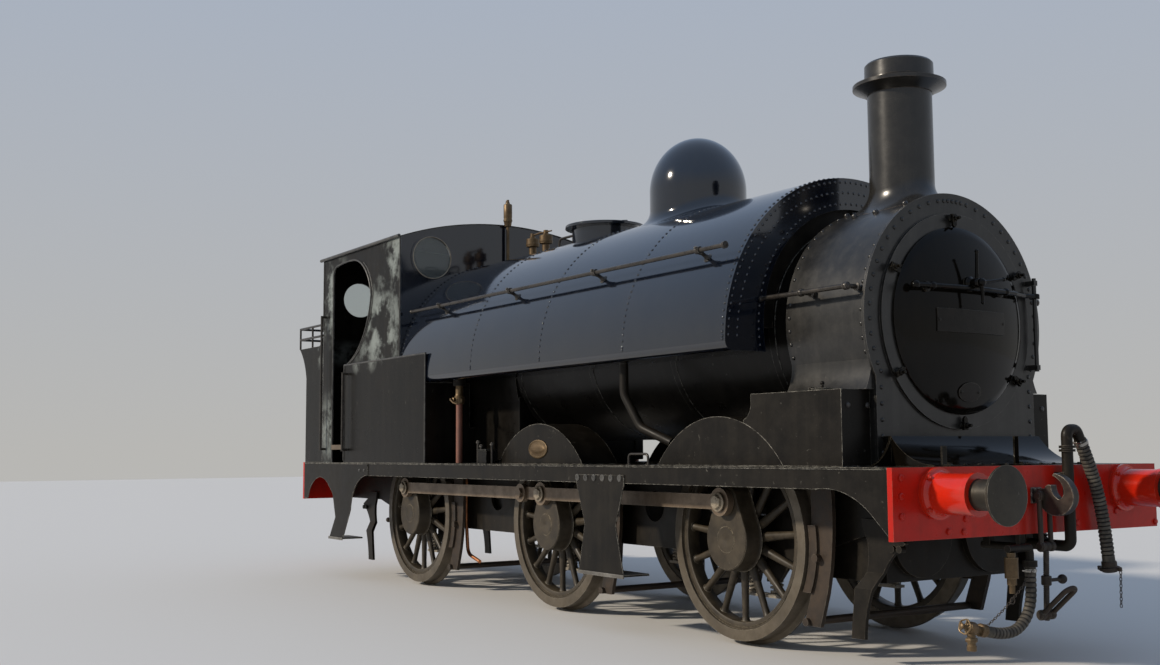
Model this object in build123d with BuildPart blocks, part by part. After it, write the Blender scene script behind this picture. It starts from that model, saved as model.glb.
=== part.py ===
from build123d import *
import math
import os

os.makedirs("parts", exist_ok=True)

# A six-coupled saddle tank locomotive with inside cylinders. Lengths are in millimetres.
# X runs from the middle of the length to the front, Y to the left, and Z up from the foot of the flanges.

# Length, wheels and axles
length_over_buffers = 9837
buffer_length = 497
beam_thickness = 38
beam_depth = 407
beam_face = length_over_buffers / 2 - buffer_length
beam_back = beam_face - beam_thickness
flange_depth = 28.6
rail_z = flange_depth
wheel_radius = 686
axle_z = rail_z + wheel_radius
middle_axle_x = 264.5
front_axle_x = middle_axle_x + 2335
rear_axle_x = middle_axle_x - 2596
axle_places = {"front": front_axle_x, "middle": middle_axle_x, "rear": rear_axle_x}

tyre_back = 680
tyre_width = 137
tyre_thickness = 76
flange_width = 32
rim_depth = 52
rim_inner = wheel_radius - tyre_thickness - rim_depth
spoke_count = 15
spoke_root = 68
spoke_tip = 46
spoke_thickness = 48
hub_radius = 140
crank_hub_radius = 212
hub_back = 671
boss_face = 908
axle_radius = 92
crank_throw = 255.7
crank_boss_radius = 115
crank_pin_radius = 48
pin_end = 972
collar_radius = 66
collar_thickness = 12
nut_radius = 50
nut_thickness = 22
web_thickness = 90
inside_crank_y = 360
inside_throw = 330
inside_pin_radius = 88
inside_pin_half = 60

rod_near = boss_face + 5
rod_thickness = 50
rod_depth = 102
rod_boss_radius = 96
pin_clearance = 1.0
knuckle_back = 330
knuckle_radius = 78
knuckle_pin_radius = 34

# Frames and running plate
frame_half = 622
frame_thickness = 28
sheet = 12
footplate_z = rail_z + 1189
footplate_under = footplate_z - sheet
tank_radius = 1205
footplate_half = tank_radius + 19
valance_depth = 131
valance_inset = 8
frame_bottom = rail_z + 560
horn_bottom = rail_z + 400
horn_slot = 236
axlebox_height = 320
axlebox_far = 662
axlebox_near = 525
axle_clearance = 1.0
wheel_slot_near = 668
wheel_slot_far = 832
wheel_slot_half = 545

# Boiler, smokebox and fittings
boiler_z = rail_z + 2115
boiler_radius = 730
firebox_front = -550
backhead_x = -2135
firebox_waist = 600
firebox_bottom = rail_z + 760
smokebox_rear = 3137
smokebox_front = 3864
smokebox_radius = 810
smokebox_wall = 14
front_plate_radius = 835
front_plate_thickness = 20
saddle_half = 735
door_radius = 607
door_opening = 560
door_ring_radius = 700
door_ring_thickness = 18
door_gap = 1
door_dish = 105
door_sheet = 12
door_hinge_y = 716
door_hinge_x = smokebox_front + 62
hinge_rod_radius = 14
chimney_x = 3437.5
chimney_radius = 217
chimney_bore = 190
chimney_top = rail_z + 3928
chimney_lip_z = rail_z + 3768
chimney_lip_radius = 314
chimney_flare = 185

# Saddle tank and fittings
tank_centre_z = rail_z + 2005
tank_bottom = rail_z + 1945
tank_bend = 60
tank_depth = 335
tank_arch = tank_radius - tank_depth
tank_rear = -1980
tank_front = 2984
tank_top = tank_centre_z + tank_radius
dome_x = 1214.5
dome_radius = 400
dome_height = 455
dome_shoulder_z = tank_top + 205
dome_flare = 130
filler_x = -156
filler_radius = 300
filler_wall = 10
filler_top = tank_top + 108
filler_lid_radius = 362
filler_lid_thickness = 22
valve_places = (-1435, -1185)

# Cab and bunker
cab_front = tank_rear
cab_back = -3945
cab_half = tank_radius - 10
cab_sheet = 10
roof_radius = 3520
roof_crown = rail_z + 3630
roof_sheet = 8
paint_gap = 0.3
side_box_half = tank_radius + 14
side_box_top = rail_z + 2215
side_box_front = -1375
side_box_back = -3286
side_box_inner = 640
door_rear_x = -3655
bunker_overhang = 18.5
bunker_back = -beam_face - bunker_overhang
bunker_top = rail_z + 2476
bunker_flare_z = rail_z + 2129
bunker_flare = 212
spectacle_y = 850
spectacle_z = rail_z + 3225
spectacle_radius = 205
rear_window_y = 770
rear_window_z = rail_z + 3000
rear_window_radius = 190
rim_width = 24
rim_thickness = 10
cab_floor_z = rail_z + 1376
floor_thickness = 50

# Splashers and sandboxes
splasher_radius = 836
splasher_sheet = 8
splasher_face = 978
sandbox_back = 2963
sandbox_front = 3796
sandbox_top = rail_z + 1661
sandbox_wall = 8
sandbox_lid_x = 3550
sandbox_lid_y = 893
sandbox_lid_radius = 72
sandbox_mouth_radius = 58

# Buffers and drawgear
buffer_y = 870
buffer_z = rail_z + 1040
buffer_head_radius = 165
buffer_head_thickness = 26
buffer_shank_radius = 86
housing_base_radius = 148
housing_radius = 117
housing_length = 300

# Heating pipe under the front beam
heating_x = beam_face + 43
heating_y = -130
heating_z = rail_z + 706
relief_y = -300

right_and_left = (("right", -1), ("left", 1))


def save(sub_part, name):
    """Label a finished piece and write it to the parts folder."""
    sub_part.part.label = name
    export_step(sub_part.part, f"parts/{name}.step")


def side_view(y):
    """Plane seen from the right: sketch coordinates are X and Z, and a positive extrusion runs to the right."""
    return Plane(origin=(0, y, 0), x_dir=(1, 0, 0), z_dir=(0, -1, 0))


def front_view(x):
    """Plane across the engine: sketch coordinates are Y and Z, and a positive extrusion runs forward."""
    return Plane(origin=(x, 0, 0), x_dir=(0, 1, 0), z_dir=(1, 0, 0))


def between(side, near, far):
    """Plane and width of a piece that spans near to far from the centre line, on one side."""
    return side_view(max(side * near, side * far)), far - near


def block(x, y, z, mode=Mode.ADD):
    """Rectangular piece between its lowest and highest X, Y and Z."""
    with Locations((sum(x) / 2, sum(y) / 2, sum(z) / 2)):
        Box(x[1] - x[0], y[1] - y[0], z[1] - z[0], mode=mode)


def rod_x(radius, x, y, z, mode=Mode.ADD):
    """Round bar along X, where x gives its two ends."""
    with BuildSketch(front_view(x[0])) as section:
        with Locations((y, z)):
            Circle(radius)
    extrude(section.sketch, amount=x[1] - x[0], mode=mode)


def rod_y(radius, x, y, z, mode=Mode.ADD):
    """Round bar along Y, where y gives its two ends."""
    with BuildSketch(side_view(max(y))) as section:
        with Locations((x, z)):
            Circle(radius)
    extrude(section.sketch, amount=abs(y[1] - y[0]), mode=mode)


def rod_z(radius, x, y, z, mode=Mode.ADD):
    """Round bar along Z, where z gives its two ends."""
    with BuildSketch(Plane.XY.offset(z[0])) as section:
        with Locations((x, y)):
            Circle(radius)
    extrude(section.sketch, amount=z[1] - z[0], mode=mode)


# Main frames
with BuildPart() as main_frames:
    outline = [(-beam_back, footplate_under), (-beam_back, footplate_z - beam_depth)]
    outline += [(rear_axle_x - 1250, footplate_z - beam_depth)]
    for axle_x in (rear_axle_x, middle_axle_x, front_axle_x):
        outline += [
            (axle_x - 380, frame_bottom),
            (axle_x - 240, horn_bottom),
            (axle_x - horn_slot / 2, horn_bottom),
            (axle_x - horn_slot / 2, axle_z + 210),
            (axle_x + horn_slot / 2, axle_z + 210),
            (axle_x + horn_slot / 2, horn_bottom),
            (axle_x + 240, horn_bottom),
            (axle_x + 380, frame_bottom),
        ]
    outline += [(front_axle_x + 1150, footplate_z - beam_depth), (beam_back, footplate_z - beam_depth)]
    outline += [(beam_back, footplate_under)]
    with BuildSketch(side_view(frame_half + frame_thickness)):
        with BuildLine():
            Polyline(*outline, close=True)
        make_face()
        for hole_x in (rear_axle_x - 800, -1000, 1440, 1900):
            with Locations((hole_x, frame_bottom + 310)):
                Circle(120, mode=Mode.SUBTRACT)
    extrude(amount=frame_thickness)
    mirror(about=Plane.XZ)
save(main_frames, "main_frames")

# Cross stretchers between the frames: X of the rear face, thickness, bottom and top
stretchers = (
    (183.5 - beam_back, 220, footplate_z - beam_depth + 60, footplate_under),
    (-2900, 30, frame_bottom + 40, footplate_under),
    (1000, 30, frame_bottom + 20, footplate_under),
    (beam_back - 383.5, 30, footplate_z - beam_depth + 60, footplate_under),
)
with BuildPart() as frame_stretchers:
    for x, thickness, bottom, top in stretchers:
        block((x, x + thickness), (-frame_half, frame_half), (bottom, top))
save(frame_stretchers, "frame_stretchers")

# Axleboxes in the horn slots
with BuildPart() as axleboxes:
    for axle_x in axle_places.values():
        for name, side in right_and_left:
            plane, width = between(side, axlebox_near, axlebox_far)
            with BuildSketch(plane):
                with Locations((axle_x, axle_z)):
                    Rectangle(horn_slot - 2 * paint_gap, axlebox_height)
                    Circle(axle_radius + axle_clearance, mode=Mode.SUBTRACT)
            extrude(amount=width)
save(axleboxes, "axleboxes")

# Coil springs under the axleboxes, each pair on a plate hung from the box
spring_radius = 48
spring_height = 150
spring_coils = 5
hanger_height = 70
axlebox_bottom = axle_z - axlebox_height / 2
spring_foot = axlebox_bottom - hanger_height - spring_height
coil_pitch = spring_height / spring_coils
with BuildPart() as springs:
    for axle_x in axle_places.values():
        for name, side in right_and_left:
            spring_y = side * (frame_half - spring_radius - 8)
            rod_z(26, axle_x, spring_y, (spring_foot, axlebox_bottom))
            block((axle_x - 190, axle_x + 190), (spring_y - 45, spring_y + 45), (spring_foot - 20, spring_foot))
            for offset in (-125, 125):
                waves = [(0, spring_foot - 5)]
                for coil in range(spring_coils):
                    waves += [(spring_radius - 16, spring_foot + coil * coil_pitch - 5 * (coil == 0))]
                    waves += [(spring_radius, spring_foot + (coil + 0.5) * coil_pitch)]
                waves += [(spring_radius - 16, spring_foot + spring_height), (0, spring_foot + spring_height)]
                with BuildSketch(Plane(origin=(axle_x + offset, spring_y, 0), x_dir=(1, 0, 0), z_dir=(0, -1, 0))):
                    with BuildLine():
                        Polyline(*waves, close=True)
                    make_face()
                revolve(axis=Axis((axle_x + offset, spring_y, 0), (0, 0, 1)))
save(springs, "springs")

# Cylinder block between the frames, with two front covers
cylinder_y = 330
cylinder_z = axle_z + 70
with BuildPart() as cylinder_block:
    block((3040, 3790), (-frame_half, frame_half), (rail_z + 470, footplate_under))
    for side in (-1, 1):
        rod_x(265, (3790, 3830), side * cylinder_y, cylinder_z)
        rod_x(62, (2960, 3040), side * cylinder_y, cylinder_z)
        for bar_z in (cylinder_z - 110, cylinder_z + 70):
            block((2960, 3040), (side * cylinder_y - 40, side * cylinder_y + 40), (bar_z, bar_z + 40))
save(cylinder_block, "cylinder_block")

# Running plate with its valances
with BuildPart() as running_plate:
    with BuildSketch(Plane.XY.offset(footplate_under)):
        Rectangle(2 * beam_back, 2 * footplate_half)
        with Locations(((backhead_x - 900 + smokebox_rear) / 2, 0)):
            Rectangle(smokebox_rear - backhead_x + 900, 2 * frame_half, mode=Mode.SUBTRACT)
        for axle_x in axle_places.values():
            for side in (-1, 1):
                with Locations((axle_x, side * (wheel_slot_near + wheel_slot_far) / 2)):
                    Rectangle(2 * wheel_slot_half, wheel_slot_far - wheel_slot_near, mode=Mode.SUBTRACT)
    extrude(amount=sheet)
    for side in (-1, 1):
        plane, width = between(side, footplate_half - valance_inset - sheet, footplate_half - valance_inset)
        with BuildSketch(plane):
            with BuildLine():
                Polyline(
                    (beam_back, footplate_under),
                    (-beam_back, footplate_under),
                    (-beam_back, footplate_z - valance_depth),
                    (front_axle_x + 1210, footplate_z - valance_depth),
                )
                ThreePointArc(
                    (front_axle_x + 1210, footplate_z - valance_depth),
                    (front_axle_x + 1520, footplate_z - valance_depth - 48),
                    (beam_back - 100, footplate_z - beam_depth + 110),
                )
                Polyline(
                    (beam_back - 100, footplate_z - beam_depth + 110),
                    (beam_back, footplate_z - beam_depth + 20),
                    (beam_back, footplate_under),
                )
            make_face()
        extrude(amount=width)
save(running_plate, "running_plate")

# Buffer beams
hook_half = 20
hook_depth = 76
drawhook_z = rail_z + 1010
for name, direction in (("front_beam", 1), ("rear_beam", -1)):
    with BuildPart() as beam:
        with BuildSketch(front_view(beam_back if direction > 0 else -beam_face)):
            with Locations((0, footplate_z - beam_depth / 2)):
                Rectangle(2 * footplate_half, beam_depth)
            with Locations((0, drawhook_z)):
                Rectangle(2 * (hook_half + paint_gap), hook_depth + 2 * paint_gap, mode=Mode.SUBTRACT)
        extrude(amount=beam_thickness)
    save(beam, name)

# Buffer housings and buffers
with BuildPart() as buffer_housings:
    for direction in (1, -1):
        for side in (-1, 1):
            axis_plane = Plane(
                origin=(direction * beam_face, side * buffer_y, buffer_z),
                x_dir=(direction, 0, 0),
                z_dir=(0, -direction, 0),
            )
            with BuildSketch(axis_plane):
                with BuildLine():
                    Polyline(
                        (0, buffer_shank_radius + 2),
                        (0, housing_base_radius),
                        (24, housing_base_radius),
                        (24, housing_base_radius - 14),
                    )
                    ThreePointArc(
                        (24, housing_base_radius - 14),
                        (32, housing_radius + 8),
                        (52, housing_radius),
                    )
                    Polyline(
                        (52, housing_radius),
                        (housing_length - 34, housing_radius),
                        (housing_length - 34, housing_radius + 5),
                        (housing_length, housing_radius + 5),
                        (housing_length, buffer_shank_radius + 2),
                        (0, buffer_shank_radius + 2),
                    )
                make_face()
            revolve(axis=Axis((0, side * buffer_y, buffer_z), (1, 0, 0)))
save(buffer_housings, "buffer_housings")

with BuildPart() as buffers:
    for direction in (1, -1):
        for side in (-1, 1):
            axis_plane = Plane(
                origin=(direction * beam_face, side * buffer_y, buffer_z),
                x_dir=(direction, 0, 0),
                z_dir=(0, -direction, 0),
            )
            with BuildSketch(axis_plane):
                with BuildLine():
                    Polyline(
                        (buffer_length - 8, buffer_head_radius),
                        (buffer_length - buffer_head_thickness, buffer_head_radius - 4),
                        (buffer_length - buffer_head_thickness - 10, buffer_shank_radius + 18),
                        (buffer_length - buffer_head_thickness - 26, buffer_shank_radius),
                        (0, buffer_shank_radius),
                        (0, 0),
                        (buffer_length, 0),
                    )
                    ThreePointArc(
                        (buffer_length, 0),
                        (buffer_length - 2, buffer_head_radius / 2),
                        (buffer_length - 8, buffer_head_radius),
                    )
                make_face()
            revolve(axis=Axis((0, side * buffer_y, buffer_z), (1, 0, 0)))
save(buffers, "buffers")

# Drawhooks, one at each end, with a screw coupling pinned through the neck of the hook. The shackle at its
# foot is swung forward and up.
hook_head_half = 27
link_x = 60
link_y = 45
link_radius = 16
upper_trunnion = (62, -302)
lower_trunnion = (46, -704)
shackle_end = (238, -530)
shackle_turn = math.atan2(shackle_end[1] - lower_trunnion[1], shackle_end[0] - lower_trunnion[0])
with BuildPart() as drawhooks:
    for direction in (1, -1):
        hook_plane = Plane(
            origin=(direction * beam_face, direction * hook_half, drawhook_z),
            x_dir=(direction, 0, 0),
            z_dir=(0, -direction, 0),
        )
        with BuildSketch(hook_plane):
            Polygon((-200, -38), (-200, 38), (60, 38), (60, -38), align=None)
        extrude(amount=2 * hook_half)
        with BuildSketch(hook_plane.offset(hook_half - hook_head_half)):
            with BuildLine():
                Polyline((30, -38), (30, 38), (84, 44))
                ThreePointArc((84, 44), (100, 62), (132, 62))
                ThreePointArc((132, 62), (148, 8), (185, -20))
                ThreePointArc((185, -20), (214, 8), (212, 52))
                ThreePointArc((212, 52), (186, 92), (142, 118))
                Line((142, 118), (152, 134))
                ThreePointArc((152, 134), (240, 92), (284, 5))
                ThreePointArc((284, 5), (258, -72), (190, -113))
                ThreePointArc((190, -113), (100, -104), (52, -56))
                Line((52, -56), (30, -38))
            make_face()
        extrude(amount=2 * hook_head_half)
        washer = sorted((direction * (beam_back - 30), direction * beam_back))
        block(washer, (-70, 70), (drawhook_z - 70, drawhook_z + 70))

        rod_y(18, direction * (beam_face + link_x), (-link_y - 20, link_y + 20), drawhook_z)
        for link_side in (-link_y, link_y):
            link_top, link_foot = (link_x, 24), (upper_trunnion[0], upper_trunnion[1] - 22)
            rod_z(link_radius, direction * (beam_face + link_x), link_side, (drawhook_z + link_foot[1], drawhook_z + 24))
        for trunnion in (upper_trunnion, lower_trunnion):
            trunnion_x = direction * (beam_face + trunnion[0])
            rod_y(26, trunnion_x, (-link_y - 22, link_y + 22), drawhook_z + trunnion[1])
        screw = Plane(
            origin=(direction * (beam_face + lower_trunnion[0]), 0, drawhook_z + lower_trunnion[1] - 34),
            z_dir=(direction * (upper_trunnion[0] - lower_trunnion[0]), 0, upper_trunnion[1] - lower_trunnion[1]),
        )
        with BuildSketch(screw):
            Circle(19)
        extrude(amount=upper_trunnion[1] - lower_trunnion[1] + 68)
        lever_z = drawhook_z + (upper_trunnion[1] + lower_trunnion[1]) / 2
        rod_y(11, direction * (beam_face + 54), (0, direction * 150), lever_z)
        with Locations((direction * (beam_face + 54), direction * 150, lever_z)):
            Sphere(30)
        with BuildSketch(
            Plane(
                origin=(direction * (beam_face + lower_trunnion[0]), 0, drawhook_z + lower_trunnion[1]),
                x_dir=(direction * math.cos(shackle_turn), 0, math.sin(shackle_turn)),
                z_dir=(-direction * math.sin(shackle_turn), 0, math.cos(shackle_turn)),
            ).offset(-link_radius)
        ):
            reach = math.hypot(shackle_end[0] - lower_trunnion[0], shackle_end[1] - lower_trunnion[1])
            with Locations((reach / 2 - 20, 0)):
                Rectangle(reach - 60, 2 * link_y + 2 * link_radius)
            with Locations((reach - 50, 0)):
                Circle(link_y + link_radius)
            with Locations((reach / 2 - 20, 0)):
                Rectangle(reach - 60, 2 * link_y - 2 * link_radius, mode=Mode.SUBTRACT)
            with Locations((reach - 50, 0)):
                Circle(link_y - link_radius, mode=Mode.SUBTRACT)
        extrude(amount=2 * link_radius)
save(drawhooks, "drawhooks")

# Wheelsets: axle, wheel centres and crank pins. The right cranks stand up, the left ones point back.
crank_angles = {-1: 90, 1: 180}


def crank_point(side, throw=crank_throw):
    """Offset of a crank pin from its axle, in X and Z."""
    angle = math.radians(crank_angles[side])
    return throw * math.cos(angle), throw * math.sin(angle)


def wheel_centre(axle_x, side):
    """Hub, spokes, rim, crank boss and crank pin of one wheel."""
    pin_dx, pin_dz = crank_point(side)
    rim_outer = wheel_radius - tyre_thickness
    plane, width = between(side, hub_back, hub_back + 120)
    with BuildSketch(plane) as section:
        with Locations((axle_x, axle_z)):
            Circle(hub_radius)
    extrude(section.sketch, amount=width)
    plane, width = between(side, tyre_back + 8, tyre_back + tyre_width - 16)
    with BuildSketch(plane) as section:
        with Locations((axle_x, axle_z)):
            Circle(rim_outer)
            Circle(rim_inner, mode=Mode.SUBTRACT)
    extrude(section.sketch, amount=width)
    plane, width = between(side, tyre_back + 34, tyre_back + 34 + spoke_thickness)
    with BuildSketch(plane) as section:
        with Locations((axle_x, axle_z)):
            with PolarLocations(0, spoke_count, start_angle=90 + 180 / spoke_count):
                Polygon(
                    (hub_radius - 15, -spoke_root / 2),
                    (rim_inner + 15, -spoke_tip / 2),
                    (rim_inner + 15, spoke_tip / 2),
                    (hub_radius - 15, spoke_root / 2),
                    align=None,
                )
    extrude(section.sketch, amount=width)
    plane, width = between(side, hub_back + 112, boss_face)
    with BuildSketch(plane) as section:
        with Locations((axle_x, axle_z)):
            Circle(crank_hub_radius)
        with Locations((axle_x + pin_dx, axle_z + pin_dz)):
            Circle(crank_boss_radius)
        make_hull()
    extrude(section.sketch, amount=width)
    pin_root = boss_face - 20
    rod_y(crank_pin_radius, axle_x + pin_dx, (side * pin_root, side * (pin_end + 8)), axle_z + pin_dz)
    rod_y(
        collar_radius,
        axle_x + pin_dx,
        (side * pin_end, side * (pin_end + collar_thickness)),
        axle_z + pin_dz,
    )
    nut_near = pin_end + collar_thickness - 1
    plane, width = between(side, nut_near, nut_near + nut_thickness)
    with BuildSketch(plane) as section:
        with Locations((axle_x + pin_dx, axle_z + pin_dz)):
            RegularPolygon(nut_radius, 6)
    extrude(section.sketch, amount=width)


for axle_name, axle_x in axle_places.items():
    with BuildPart() as wheelset:
        if axle_name == "middle":
            inner_web = inside_crank_y - inside_pin_half - web_thickness
            outer_web = inside_crank_y + inside_pin_half + web_thickness
            rod_y(axle_radius, axle_x, (-inner_web, inner_web), axle_z)
            for side in (-1, 1):
                dx, dz = crank_point(side, -inside_throw)
                rod_y(axle_radius, axle_x, (side * outer_web, side * hub_back), axle_z)
                rod_y(
                    inside_pin_radius,
                    axle_x + dx,
                    (side * (inner_web + web_thickness), side * (outer_web - web_thickness)),
                    axle_z + dz,
                )
                for near in (inner_web, outer_web - web_thickness):
                    plane, width = between(side, near, near + web_thickness)
                    with BuildSketch(plane):
                        with Locations((axle_x, axle_z)):
                            Circle(150)
                        with Locations((axle_x + dx, axle_z + dz)):
                            Circle(120)
                        make_hull()
                    extrude(amount=width)
        else:
            rod_y(axle_radius, axle_x, (-hub_back, hub_back), axle_z)
        for side in (-1, 1):
            wheel_centre(axle_x, side)
    save(wheelset, f"wheelset_{axle_name}")

    with BuildPart() as tyres:
        for side in (-1, 1):
            tyre_plane = Plane(origin=(axle_x, 0, axle_z), x_dir=(0, side, 0), z_dir=(side, 0, 0))
            with BuildSketch(tyre_plane):
                with BuildLine():
                    Polyline(
                        (tyre_back, wheel_radius - tyre_thickness),
                        (tyre_back, wheel_radius + flange_depth - 8),
                        (tyre_back + 8, wheel_radius + flange_depth),
                        (tyre_back + 20, wheel_radius + flange_depth),
                        (tyre_back + flange_width, wheel_radius + 6),
                        (tyre_back + flange_width + 8, wheel_radius),
                        (tyre_back + tyre_width, wheel_radius - 4),
                        (tyre_back + tyre_width, wheel_radius - tyre_thickness),
                        close=True,
                    )
                make_face()
            revolve(axis=Axis((axle_x, 0, axle_z), (0, 1, 0)))
    save(tyres, f"tyres_{axle_name}")

# Coupling rods: the front rod runs back past the middle pin to the knuckle that carries the rear rod
for name, side in right_and_left:
    pin_dx, pin_dz = crank_point(side)
    pin_z = axle_z + pin_dz
    front_pin = front_axle_x + pin_dx
    middle_pin = middle_axle_x + pin_dx
    rear_pin = rear_axle_x + pin_dx
    knuckle_x = middle_pin - knuckle_back
    rod_far = rod_near + rod_thickness
    rod_middle = rod_near + rod_thickness / 2
    with BuildPart() as front_rod:
        plane, width = between(side, rod_near, rod_far)
        with BuildSketch(plane):
            with Locations(((front_pin + middle_pin - 180) / 2, pin_z)):
                Rectangle(front_pin - middle_pin + 180, rod_depth)
            for boss_x in (front_pin, middle_pin):
                with Locations((boss_x, pin_z)):
                    Circle(rod_boss_radius)
            for boss_x in (front_pin, middle_pin):
                with Locations((boss_x, pin_z)):
                    Circle(crank_pin_radius + pin_clearance, mode=Mode.SUBTRACT)
        extrude(amount=width)
        plane, width = between(side, rod_near, rod_middle)
        with BuildSketch(plane):
            with Locations(((middle_pin - 140 + knuckle_x) / 2, pin_z)):
                Rectangle(middle_pin - 140 - knuckle_x, rod_depth)
            with Locations((knuckle_x, pin_z)):
                Circle(knuckle_radius)
        extrude(amount=width)
        rod_y(knuckle_pin_radius, knuckle_x, (side * rod_middle, side * (rod_far + 18)), pin_z)
        plane, width = between(side, rod_far + 3, rod_far + 24)
        with BuildSketch(plane):
            with Locations((knuckle_x, pin_z)):
                RegularPolygon(knuckle_pin_radius + 12, 6)
        extrude(amount=width)
    save(front_rod, f"{name}_front_rod")

    with BuildPart() as rear_rod:
        plane, width = between(side, rod_middle + 1, rod_far)
        with BuildSketch(plane):
            with Locations(((rear_pin + knuckle_x) / 2, pin_z)):
                Rectangle(knuckle_x - rear_pin, rod_depth)
            for boss_x, boss_radius in ((rear_pin, rod_boss_radius), (knuckle_x, knuckle_radius)):
                with Locations((boss_x, pin_z)):
                    Circle(boss_radius)
            with Locations((rear_pin, pin_z)):
                Circle(crank_pin_radius + pin_clearance, mode=Mode.SUBTRACT)
            with Locations((knuckle_x, pin_z)):
                Circle(knuckle_pin_radius + paint_gap, mode=Mode.SUBTRACT)
        extrude(amount=width)
        plane, width = between(side, rod_near, rod_middle + 1)
        with BuildSketch(plane):
            with Locations(((rear_pin + knuckle_x - 100) / 2, pin_z)):
                Rectangle(knuckle_x - 100 - rear_pin, rod_depth)
            with Locations((rear_pin, pin_z)):
                Circle(rod_boss_radius)
                Circle(crank_pin_radius + pin_clearance, mode=Mode.SUBTRACT)
        extrude(amount=width)
    save(rear_rod, f"{name}_rear_rod")

# Brake hangers and blocks: one ahead of each wheel, hung from the running plate, with a bar across their feet
brake_near = 725
brake_width = 70
hanger_near = 745
hanger_width = 30
hanger_foot = (652, rail_z + 194)
with BuildPart() as brake_gear:
    for axle_x in axle_places.values():
        for side in (-1, 1):
            plane, width = between(side, hanger_near, hanger_near + hanger_width)
            with BuildSketch(plane):
                with BuildLine():
                    Line((axle_x + 864, footplate_under), (axle_x + 700, footplate_under))
                    Line((axle_x + 700, footplate_under), (axle_x + 700, rail_z + 800))
                    ThreePointArc(
                        (axle_x + 700, rail_z + 800),
                        (axle_x + 716, rail_z + 590),
                        (axle_x + 684, rail_z + 372),
                    )
                    Line((axle_x + 684, rail_z + 372), (axle_x + 612, rail_z + 170))
                    Line((axle_x + 612, rail_z + 170), (axle_x + 760, rail_z + 170))
                    Line((axle_x + 760, rail_z + 170), (axle_x + 830, rail_z + 385))
                    ThreePointArc(
                        (axle_x + 830, rail_z + 385),
                        (axle_x + 872, rail_z + 610),
                        (axle_x + 864, footplate_under),
                    )
                make_face()
            extrude(amount=width)
            plane, width = between(side, brake_near, brake_near + brake_width)
            with BuildSketch(plane):
                with Locations((axle_x, axle_z)):
                    Circle(wheel_radius + 76)
                    Circle(wheel_radius + 8, mode=Mode.SUBTRACT)
                with Locations((axle_x + wheel_radius + 40, rail_z + 596)):
                    Rectangle(260, 430, mode=Mode.INTERSECT)
            extrude(amount=width)
            pin_reach = (side * brake_near, side * (brake_near + brake_width + 22))
            rod_y(26, axle_x + 762, pin_reach, rail_z + 606)
        rod_y(26, axle_x + hanger_foot[0], (-brake_near - 78, brake_near + 78), hanger_foot[1])
save(brake_gear, "brake_gear")

# Guard irons at both ends: the plate on the frame kinks outward and narrows down to the rail
guard_near = frame_half + frame_thickness
guard_kink = 62
guard_thickness = 26
with BuildPart() as guard_iron:
    with BuildSketch(side_view(guard_near + guard_kink + guard_thickness)):
        with BuildLine():
            Polyline(
                (3640, rail_z + 860),
                (3830, rail_z + 860),
                (3828, rail_z + 812),
                (4000, rail_z + 724),
            )
            ThreePointArc((4000, rail_z + 724), (3872, rail_z + 622), (3778, rail_z + 446))
            ThreePointArc((3778, rail_z + 446), (3728, rail_z + 300), (3705, rail_z + 130))
            Line((3705, rail_z + 130), (3594, rail_z + 130))
            Line((3594, rail_z + 130), (3630, rail_z + 434))
            ThreePointArc((3630, rail_z + 434), (3684, rail_z + 560), (3690, rail_z + 716))
            Polyline((3690, rail_z + 716), (3656, rail_z + 804), (3640, rail_z + 860))
        make_face()
    extrude(amount=guard_kink + guard_thickness)
    with BuildSketch(front_view(3500)):
        Polygon(
            (guard_near, rail_z + 900),
            (guard_near + guard_thickness, rail_z + 900),
            (guard_near + guard_thickness, rail_z + 536),
            (guard_near + guard_kink + guard_thickness, rail_z + 440),
            (guard_near + guard_kink + guard_thickness, rail_z + 100),
            (guard_near + guard_kink, rail_z + 100),
            (guard_near + guard_kink, rail_z + 430),
            (guard_near, rail_z + 524),
            align=None,
        )
    extrude(amount=600, mode=Mode.INTERSECT)
    for bolt_x in (3900, 3960):
        rod_y(22, bolt_x, (guard_near, guard_near + guard_thickness + 18), rail_z + 690)
with BuildPart() as guard_irons:
    add(guard_iron.part)
    mirror(guard_iron.part, about=Plane.XZ)
    mirror(guard_irons.part, about=Plane.YZ)
save(guard_irons, "guard_irons")

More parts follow.
